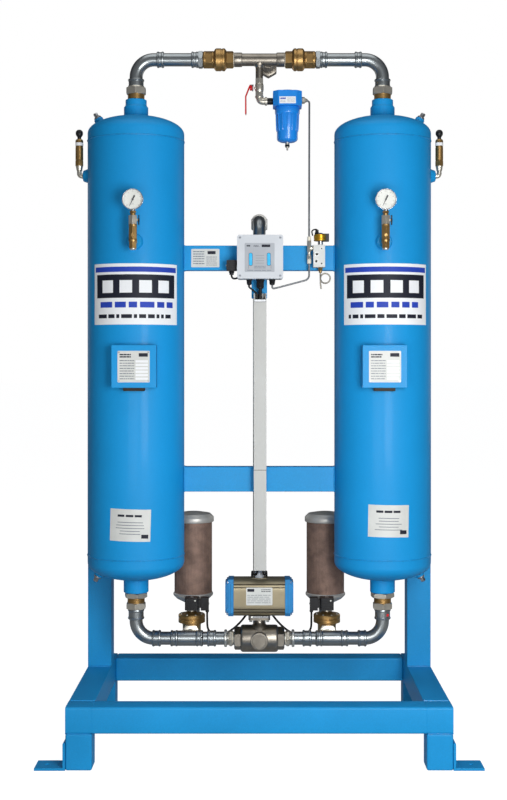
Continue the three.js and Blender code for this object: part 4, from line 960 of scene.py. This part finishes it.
def silencer(side):
    box, muff, z, seat, rim = AT[f"exhaust_valve_{side}"], AT[f"silencer_{side}"], LOW_LINE, 404, 685
    x, back = muff.x, muff.y
    route = bends([(x, box.y1 + 0.3, z), (x, back, z), (x, back, seat - 20)], 24, 14)
    form = Form("zinc").sweep(route, 17, 32)
    form.nut("z", (x, back), seat - 24, seat, 44).paint("alloy")
    r = (muff.x1 - muff.x0) / 2
    form.lathe("z", (x, back), [(22, 0), (30, 9), (55, 22), (66, 33), (67, 35), (67, 40), (64, 43)],
        72, base=seat)
    form.lathe("z", (x, back), [(r - 1, 0), (r, 2), (r, 14), (r - 1.5, 17), (58, 27), (30, 32)], 72,
        base=rim)
    form.paint("mesh").lathe("z", (x, back), [(63, seat + 42), (63, rim - 1)], 96)
    for a in around(40):
        form.sweep([(x + 62.6 * cos(a), back + 62.6 * sin(a), h) for h in (seat + 43, rim - 2)], 0.9, 6)
    form.paint("stainless").block(x - 4, x + 4, back + 61, back + 64.6, seat + 43, rim - 2)
    piece(f"silencer_body_{side}", form, f"silencer_{side}", bevel=0.6)


def coil_lead(side, s):
    cable = AT[f"coil_cable_{side}"]
    points = [(s * 172, EXHAUST_Y, 403.4), (s * 172, 42, 378), (s * 168, 8, 350), (s * 150, -20, 340),
        (s * 112, -22, 340), (s * 70, -8, 366), (s * 34, 6, 412), (s * 24, 8, 470), (s * 24, 4, 520),
        (s * 23, -14, 540), (s * 22, -60, 541), (s * 10 + 2.5, -96, 549), (s * 8 + 2.5, -102, cable.z1)]
    form = Form("rubber").sweep(spline(points, 8), 3.4, 16)
    piece(f"coil_lead_{side}", form, f"coil_cable_{side}")


def riser():
    box, z = AT["inlet_riser"], LOW_LINE
    y, top, end = RISER_Y, RISER_TOP, box.y1
    run = bends([(0, box.y0, z), (0, y, z), (0, y, top), (0, end - 10, top)], BEND_R, 20)
    form = Form("pipe").sweep(run, PIPE_R, 40)
    socket(form, "z", (0, y), top - 84, top - 58, wall=3.4)
    form.paint("alloy").ring("y", (0, top), [(20, 118), (26.5, 118), (27.5, 120), (27.5, 147), (26, 150),
        (20, 150)], 56)
    form.rod("y", (0, top), 148, 172, 25, seg=48)
    form.nut("y", (0, top), 170, end, 55, bore=18)
    # Painted shade: a dark plug inside the nut's bore.
    form.paint("painted_shade").rod("y", (0, top), 168, end - 14, 17.8)
    piece("inlet_riser_pipe", form, "inlet_riser", bevel=0.5)


# ---------------------------------------------------------------- gauges and relief valves
def pointed(axis, degrees, outline):
    """An outline of (reach, width) points on a dial, turned clockwise from the top."""
    sn, cs = sin(radians(degrees)), cos(radians(degrees))
    return [(axis[0] + d * sn + e * cs, axis[1] + d * cs - e * sn) for d, e in outline]


def gauge(side):
    box, lever, shell = (AT[f"{name}_{side}"] for name in ("gauge", "gauge_cock_lever", "tower"))
    x, r = box.x, (box.x1 - box.x0) / 2
    z, y = box.z1 - r, lever.y
    front, face = box.y0, y - 6
    axis = (x, z)
    form = Form("chrome").lathe("y", axis, [(r - 4, y + 16), (r - 1.5, y + 14), (r - 1.5, y - 7),
        (r, y - 8), (r, y - 12), (r - 1, front), (r - 2.4, front), (r - 3.6, front + 2),
        (r - 3.8, face)], 72)
    form.rod("z", (x, y), z - r - 5, z - r + 4, 7.6)
    form.paint("dial").lathe("y", axis, [(r - 3.9, face - 0.5), (r - 3.9, face)], 64)
    form.paint("ink")
    for k in range(41):
        lo, w = (r - 8, 0.22) if k % 5 else (r - 10.5, 0.5)
        mark = ((lo, w), (r - 6, w), (r - 6, -w), (lo, -w))
        form.prism("y", pointed(axis, 225 + 270 * k / 40, mark), face - 0.75, face - 0.45)
    form.paint("grey_print").block(x - 4, x + 4, face - 0.7, face - 0.45, z - 14.6, z - 13.6)
    piece(f"gauge_case_{side}", form, f"gauge_{side}", bevel=0.3)
    glass = Form("smoke").lathe("y", axis, [(r - 3.4, front + 1.6), (r - 3.4, front + 2.4)], 56)
    piece(f"gauge_glass_{side}", glass)
    at, boss = (x, y), GAUGE_BOSS_Z
    form = Form("brass").nut("z", at, boss + 83, boss + 89, 19).rod("z", at, boss + 82, boss + 75, 8.6)
    form.paint("nickel").nut("z", at, boss + 47, boss + 76, 24.6)
    form.rod("x", (y, lever.z), x + 10, lever.x0 - 0.3, 4.6)
    form.paint("brass").nut("z", at, boss + 3, boss + 47, 23.6)
    form.nut("z", at, boss - 25, boss + 3, 21.6)
    form.lathe("z", at, [(12.6, -5), (13, -3), (13, 1), (12.6, 3)], 36, base=boss)
    form.lathe("z", at, [(12.4, 43), (12.8, 45), (12.8, 48), (12.4, 50)], 36, base=boss)
    form.rod("y", (x, boss), y, shell.y0 + 20, 9)
    form.nut("y", (x, boss), -240, -230, 19)
    form.rod("y", (x, boss + 15), y - 13.2, y - 8, 5.4)
    form.paint("nickel").lathe("z", at, [(9, box.z0), (10.6, box.z0 + 1.4), (10.6, boss - 24)], 36)
    piece(f"gauge_cock_{side}", form, bevel=0.4)


def gauge_pointer(side):
    box, needle, lever = (AT[f"{name}_{side}"] for name in ("gauge", "gauge_needle", "gauge_cock_lever"))
    x, y, z = box.x, lever.y, box.z1 - (box.x1 - box.x0) / 2
    axis = (x, z)
    half = [(23, 0.35), (2, 1.3), (-8, 2.5), (-12, 2.5), (-14, 1.4)]
    blade = half + [(d, -e) for d, e in reversed(half)]
    form = Form("ink").prism("y", pointed(axis, 205, blade), y - 9, y - 8.2)
    form.lathe("y", axis, [(2, needle.y0), (3, needle.y0 + 1), (3, needle.y1)], 24)
    piece(f"gauge_pointer_{side}", form, f"gauge_needle_{side}", f"{side}_needle")
    form = Form("black").rod("x", (y, lever.z), lever.x0, lever.x1, 6, seg=28)
    form.prism("x", [(y + p, lever.z + q) for p, q in ((-3, -15), (3, -15), (5, -12), (4, 0), (5, 12),
        (3, 15), (-3, 15), (-5, 12), (-4, 0), (-5, -12))], lever.x0 + 1.2, lever.x1 - 0.6)
    form.paint("zinc").rod("x", (y, lever.z), lever.x1 - 1, lever.x1, 2.6, seg=20)
    piece(f"gauge_cock_wing_{side}", form, f"gauge_cock_lever_{side}", f"{side}_cock", 0.7)


def relief_valve(side, s):
    valve, knob = AT[f"relief_valve_{side}"], AT[f"relief_knob_{side}"]
    kx, ky, zr = knob.x, knob.y, valve.z0 + 7.6
    form = Form("nickel").sweep(bends([(s * (valve.near + 0.2), ky, zr), (kx, ky, zr),
        (kx, ky, zr + 24)], 8.2, 10), 7.6, 24)
    form.rod("x", (ky, zr), s * (valve.near + 0.1), s * (valve.near + 3), 9.6)
    form.rod("z", (kx, ky), zr + 17, zr + 35, 9, 12)
    form.paint("brass").nut("z", (kx, ky), zr + 32, zr + 50, 23.6)
    form.lathe("z", (kx, ky), [(10, zr + 49), (12.4, zr + 52), (12.4, zr + 92), (11.6, zr + 93),
        (11.6, zr + 95), (12.4, zr + 96), (12.4, valve.z1 - 5), (10, valve.z1 - 1)], 48)
    for k in range(6):
        form.ring("z", (kx, ky), [(12, 0), (12.6, 0.5), (12.6, 1.1), (12, 1.6)], 40, base=zr + 54 + 2 * k)
    form.paint("label").ring("z", (kx, ky), [(12.2, -22), (12.6, -21.6), (12.6, -12), (12.2, -11.6)],
        48, base=valve.z1)
    form.paint("machined").rod("z", (kx, ky), valve.z1 - 1.2, valve.z1, 4)
    piece(f"relief_valve_parts_{side}", form, f"relief_valve_{side}", bevel=0.4)
    z0 = knob.z0
    form = Form("black").lathe("z", (kx, ky), [(6, 0), (6.4, 1), (6.2, 6), (8.6, 9), (11.2, 13.5),
        (12, 18.6), (11.2, 23), (8.8, 27), (5, 29.8)], 40, base=z0)
    form.paint("machined").rod("z", (kx, ky), z0 - 12, z0 + 1, 2.8, seg=24)
    piece(f"relief_ball_knob_{side}", form, f"relief_knob_{side}", f"{side}_knob")


# ---------------------------------------------------------------- control gear
def control_box():
    box, lid = AT["control_box"], AT["control_box_lid"]
    base, top = lid.z0, lid.z1
    cx, cz = lid.x, lid.z
    w, h = lid.x1 - lid.x0, top - base
    form = Form("box").slab("y", (cx, cz), (w, h), 7, box.y0, box.y1)
    form.paint("black")
    gland = 1468
    for gx, r, low in ((-32, 9, gland), (3, 13, box.z0), (41, 10, gland)):
        form.nut("z", (gx, GLAND_Y), base - 6, base, r * 2)
        form.nut("z", (gx, GLAND_Y), base - 6, low + 5, r * 1.8)
        form.lathe("z", (gx, GLAND_Y), [(r * 0.88, 6), (r * 0.78, 1.6), (r * 0.6, 0)], 32, base=low)
    form.paint("zinc")
    for gx in (-62, 67):
        form.block(gx - 5, gx + 5, box.y1 - 2, box.y1, base - 0.1, base + 8)
    piece("control_box_case", form, "control_box", bevel=1.0)
    form = Form("box").slab("y", (cx, cz), (w, h), 7, lid.y0 + 2, lid.y1)
    for sx in (-1, 1):
        for sz in (-1, 1):
            px, pz = cx + sx * (w / 2 - 9), cz + sz * (h / 2 - 9)
            form.paint("panel").lathe("y", (px, pz), [(4.4, lid.y0 + 1.5), (4.4, lid.y0 + 2.2)], 24)
            form.paint("strip").slab("y", (px, pz), (5.4, 1.4), 0.3, lid.y0 + 1.2, lid.y0 + 1.7)
    piece("control_box_cover", form, "control_box_lid", bevel=1.4)
    x0, x1, z0, z1, front, lamp = cx - 48.5, cx + 45.5, 1507, 1598, lid.y0 + 1.4, 1546.5
    face = Form("panel").slab("y", ((x0 + x1) / 2, (z0 + z1) / 2), (x1 - x0, z1 - z0), 3, front,
        lid.y0 + 2.2)
    face.paint("navy").slab("y", (21, z1 - 9), (27, 8), 1, front - 0.3, front + 0.1)
    greek(face, x0 + 6, x0 + 18, z1 - 13, z1 - 5, front, 1, 0.6, "navy")
    greek(face, x0 + 28, x0 + 46, z1 - 13, z1 - 6, front, 2, 0.4, "navy")
    for px in (-27, 30):
        face.paint("strip").slab("y", (px, lamp), (12.5, 41), 5.2, front - 0.3, front + 0.2, 8)
        face.paint("lens").slab("y", (px, lamp), (10, 38.6), 4.4, front - 0.9, front, 8)
    face.paint("grey_print")
    for px in (-34, 37):
        face.block(px - 0.5, px + 0.5, front - 0.2, front + 0.1, z0 + 10, z0 + 22)
    for k in range(4):
        face.block(-12, 15, front - 0.2, front + 0.1, lamp - 12.5 + 8 * k, lamp - 11.7 + 8 * k)
    greek(face, -16, 20, z0 + 10, z0 + 20, front, 2, 0.34, "grey_print")
    greek(face, x0 + 8, x1 - 10, z0 + 3, z0 + 7, front, 1, 0.4, "grey_print")
    piece("control_panel_face", face, bevel=0.15)


def control_board():
    board = AT["control_board"]
    form = Form("board").block(board.x0, board.x1, board.y0, board.y1, board.z0, board.z1)
    for k in range(9):
        px, pz = RNG.uniform(board.x0 + 12, board.x1 - 24), board.z0 + 10 + 11 * k
        form.paint(RNG.choice(("black", "box", "gold"))).block(px, px + RNG.uniform(8, 18),
            board.y0 - 8, board.y0, pz, pz + 7)
    piece("control_board_parts", form, "control_board", bevel=0.4)


def trunking():
    box, trunk, form = AT["control_box"], AT["trunking"], Form("trunk")
    cover, joint, seam = -120, 880, 1415
    x0, x1, back = trunk.x0, trunk.x1, trunk.y1
    for low, high in ((trunk.z0, joint - 1), (joint + 0.2, seam)):
        form.prism("z", [(x0, back), (x0, cover), (x1, cover), (x1, back)], low, high)
    form.block(x0, x0 + 2.5, cover, back, seam - 1, trunk.z1)
    form.block(x1 - 2.5, x1, cover, back, seam - 1, trunk.z1)
    form.block(x0, x1, back - 2.5, back, seam - 1, trunk.z1)
    form.paint("label").block(x0 + 1, x1 - 1, cover, cover + 2.5, seam, seam + 7)
    # Painted shade: dark bands fill the gaps at the joint and at the seam.
    form.paint("painted_shade").block(x0 - 0.1, x1 + 0.1, cover - 0.1, back - 1, joint - 1.2, joint + 0.4)
    form.block(x0 - 0.1, x1 + 0.1, cover - 0.1, back - 1, seam - 1.2, seam + 0.2)
    form.paint("strip")
    for x in (x0 - 0.1, x1 - 0.9):
        form.block(x, x + 1, cover + 6, cover + 6.8, trunk.z0 + 1, seam - 1)
    piece("trunking_channel", form, "trunking", bevel=1.2)
    power = [(3, -112, box.z0 + 4), (3, -108, 1448), (2.5, -104, 1436), (2.5, -102, 1414)]
    signal = [(-32, GLAND_Y, 1470), (-32, -113, 1462), (-20, -108, 1452), (-8, -104, 1440),
        (-5, -102, 1416)]
    lead = Form("rubber").sweep(spline(power, 8), 6, 20).sweep(spline(signal, 8), 3, 16)
    piece("control_box_leads", lead)


def side_plug():
    plug, y, z = AT["connector_plug"], -120, 1506
    form = Form("black").slab("y", (-87.2, z + 23.5), (33.6, 34), 3, plug.y0, -106)
    form.nut("z", (-88, y), z, z + 7, 17).rod("z", (-88, y), z - 6, z + 1, 7)
    for k in range(4):
        form.block(-103, -73, plug.y0 - 0.6, plug.y0 + 0.2, z + 11 + 7 * k, z + 12.6 + 7 * k)
    screw(form, "x", (y, z + 24), -104, -1, 3)
    tail = [(-88, y, 1503), (-88, y, 1497), (-85, -115, 1490.5), (-78, -107, 1489), (-70, -98, 1492),
            (-64, -92, 1499)]
    form.paint("rubber").sweep(spline(tail, 8), 3, 16)
    piece("box_side_plug", form, "connector_plug", bevel=0.6)


def pilot_solenoid():
    box = AT["solenoid_valve"]
    y, tee, core, stem = PILOT_Y, AT["pilot_tube"].x1 - 4.8, 195, 184
    low, high, port, coil = 1525, 1596, 1586, 1609
    form = Form("silver").block(172, 209, box.y0, box.y1, low, high)
    # Painted shade: a dark disc in each hole of the body, with a machined rim round it.
    for hx, hz, r in ((183, 1566, 4.2), (181, 1543.5, 4.2), (198, high - 12, 2.4), (198, low + 11, 2.4)):
        form.paint("painted_shade").lathe("y", (hx, hz), [(r, -0.15), (r, 0.3)], 28, base=box.y0)
        rim = [(r, -0.3), (r + 1, -0.3), (r + 1, 0.3), (r, 0.3)]
        form.paint("machined").ring("y", (hx, hz), rim, 28, base=box.y0)
    form.rod("z", (core, y), high - 1, coil + 2, 8)
    form.paint("gold").lathe("z", (core, y), [(19.5, 0), (21, 1.6), (21, 5), (20, 6), (20, 7), (21, 8),
                                              (21, 19), (19.6, 20.6)], 56, base=coil)
    form.paint("machined").nut("z", (core, y), coil + 20, coil + 26, 14)
    form.paint("black").slab("z", (212, y), (20, 26), 3, coil - 1, coil + 23)
    form.nut("z", (stem, y), coil + 21, coil + 28, 13.6).rod("z", (stem, y), coil + 27, coil + 36, 5.4)
    lead = [(stem, y, 1640), (stem, y, 1645.4), (176, y - 2, 1646), (168, y - 4, 1640), (170, y - 6, 1626)]
    form.paint("rubber").sweep(spline(lead, 8), 2.2, 12)
    form.paint("brass").nut("z", (core, y), low - 11, low + 1, 13.8)
    form.rod("z", (core, y), box.z0, low - 10, 5)
    form.paint("nickel").rod("z", (tee, y), port - 49, box.z1 - 24.6, 5.4)
    for h0, h1, flats in ((-34, -22, 13.6), (12, 24, 13.6), (-12, 12, 12.4)):
        form.nut("z", (tee, y), port + h0, port + h1, flats)
    form.rod("x", (y, port), tee, 173, 5.4).nut("x", (y, port), 164, 172, 12)
    form.paint("gasket").rod("z", (tee, y), port - 49, port - 34, 6.4)
    form.rod("z", (tee, y), port + 24, port + 37.4, 6.4)
    piece("solenoid_valve_parts", form, "solenoid_valve", bevel=0.6)

    r, mx, mz = 15.5, 210.5, 1490
    run = [(core, y, 1507.6)]
    run += [(mx + r * cos(pi + a), y - 7 * a / (2 * pi), mz + r * sin(pi + a)) for a in around(48, 1)]
    run += [(core, y - 7, 1472), (197, y - 7, 1456.2)]
    piece("pigtail_loop", Form("stainless").sweep(run, 2.4, 14), "pigtail_tube")
    drop = bends([(tee, y, 1536.6), (tee, y, 1487), (60, GLAND_Y, 1460)], 18, 10)
    rise = bends([(60, GLAND_Y, 1460), (41, GLAND_Y, 1456), (41, GLAND_Y, 1467.6)], 5, 8)
    piece("signal_line", Form("tube").sweep(drop + rise[1:], 2.9, 14), "signal_tube")


def inner_parts():
    """The CAD solids that stay as they are, inside the shells."""
    looks = {"desiccant_bed": "beads", "filter_element": "media", "valve_ball": "machined",
        "piston": "zinc"}
    for name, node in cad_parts.items():
        for start, mat in looks.items():
            if name.startswith(start):
                node.data.materials.clear()
                node.data.materials.append(MATS[mat])


# ---------------------------------------------------------------- floor, light and camera
def studio():
    floor = bpy.data.meshes.new("floor")
    floor.from_pydata([(-60, -60, 0), (60, -60, 0), (60, 60, 0), (-60, 60, 0)], [], [(0, 1, 2, 3)])
    mat = bpy.data.materials.new("pale_floor")
    tree = empty_tree(mat)
    camera_ray = node(tree, "LightPath").outputs["Is Camera Ray"]
    level = node(tree, "Math", {0: camera_ray}, {1: 0.84, 2: 0.12}, operation="MULTIPLY_ADD")
    lift = node(tree, "Emission", {"Strength": level.outputs[0]})
    matte = node(tree, "BsdfDiffuse", values={"Color": (0.36, 0.36, 0.36, 1)})
    both = node(tree, "AddShader", {0: matte.outputs[0], 1: lift.outputs[0]})
    node(tree, "OutputMaterial", {"Surface": both.outputs[0]})
    floor.materials.append(mat)
    obj = bpy.data.objects.new("floor", floor)
    bpy.context.scene.collection.objects.link(obj)
    obj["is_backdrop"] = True

    world = bpy.data.worlds.new("studio")
    bpy.context.scene.world = world
    tree = empty_tree(world)
    split = node(tree, "SeparateXYZ", {0: node(tree, "TexCoord").outputs["Generated"]})
    around_y = node(tree, "MapRange", {"Value": split.outputs["Y"]}, {"From Min": -1})
    ramp = node(tree, "ValToRGB", {"Fac": around_y.outputs["Result"]})
    ramp.color_ramp.elements[0].color = (0.23, 0.235, 0.245, 1)
    ramp.color_ramp.elements[1].color = (0.045, 0.048, 0.054, 1)
    ramp.color_ramp.elements[1].position = 0.62
    lit = node(tree, "Background", {"Color": ramp.outputs["Color"]})
    seen = node(tree, "Background", values={"Color": (1, 1, 1, 1)})
    mix = node(tree, "MixShader", {
        "Fac": node(tree, "LightPath").outputs["Is Camera Ray"], 1: lit.outputs[0], 2: seen.outputs[0]})
    node(tree, "OutputWorld", {"Surface": mix.outputs[0]})

    def soft_box(name, place, aim, size, power):
        lamp = bpy.data.lights.new(name, "AREA")
        lamp.shape = "RECTANGLE"
        lamp.size, lamp.size_y = size
        lamp.energy = power
        obj = bpy.data.objects.new(name, lamp)
        obj.location = place
        obj.rotation_euler = (Vector(aim) - Vector(place)).to_track_quat("-Z", "Y").to_euler()
        bpy.context.scene.collection.objects.link(obj)

    soft_box("key_front", (0.75, -2.5, 1.2), (0.1, 0, 1.1), (0.75, 1.3), 46)
    soft_box("low_left", (-0.5, -2.8, 0.75), (-0.2, 0, 0.7), (1.0, 0.8), 12)
    soft_box("over", (0, -0.6, 4.6), (0, 0, 0), (3.0, 2.6), 34)
    soft_box("back_left", (-2.6, 3.2, 1.9), (0, 0, 1.1), (1.6, 2.0), 10)
    soft_box("back_right", (2.8, 3.0, 1.7), (0, 0, 1.1), (1.6, 2.0), 10)

    low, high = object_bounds()
    camera = bpy.data.cameras.new("camera")
    camera.sensor_width = 36
    camera.lens = 58.5
    camera.shift_x, camera.shift_y = -0.00725, -0.0525
    camera.clip_start, camera.clip_end = 0.05, 200
    eye = bpy.data.objects.new("camera", camera)
    eye.location = ((low.x + high.x) / 2, low.y - 3.89, 1.236)
    eye.rotation_euler = (pi / 2, 0, 0)
    bpy.context.scene.collection.objects.link(eye)
    scene = bpy.context.scene
    scene.camera = eye
    scene.view_settings.view_transform = "Standard"
    scene.view_settings.look = "None"


rails()
for side, s in SIDES:
    side_frame(side, s, AT["front_beam"], AT["rear_beam"])
crossbeams()
for side, s in SIDES:
    tower(side, s)
for side, s in SIDES:
    top_run(side, s)
manifold()
pilot_valve()
pilot_filter()
pilot_tube()
for side, s in SIDES:
    bottom_run(side, s)
switching_valve()
actuator_barrel()
pinion()
for side, s in SIDES:
    end_cap(side, s)
for side, s in SIDES:
    exhaust_valve(side, s)
    silencer(side)
    coil_lead(side, s)
riser()
for side, s in SIDES:
    gauge(side)
    gauge_pointer(side)
    relief_valve(side, s)
control_box()
control_board()
trunking()
side_plug()
pilot_solenoid()
inner_parts()
studio()
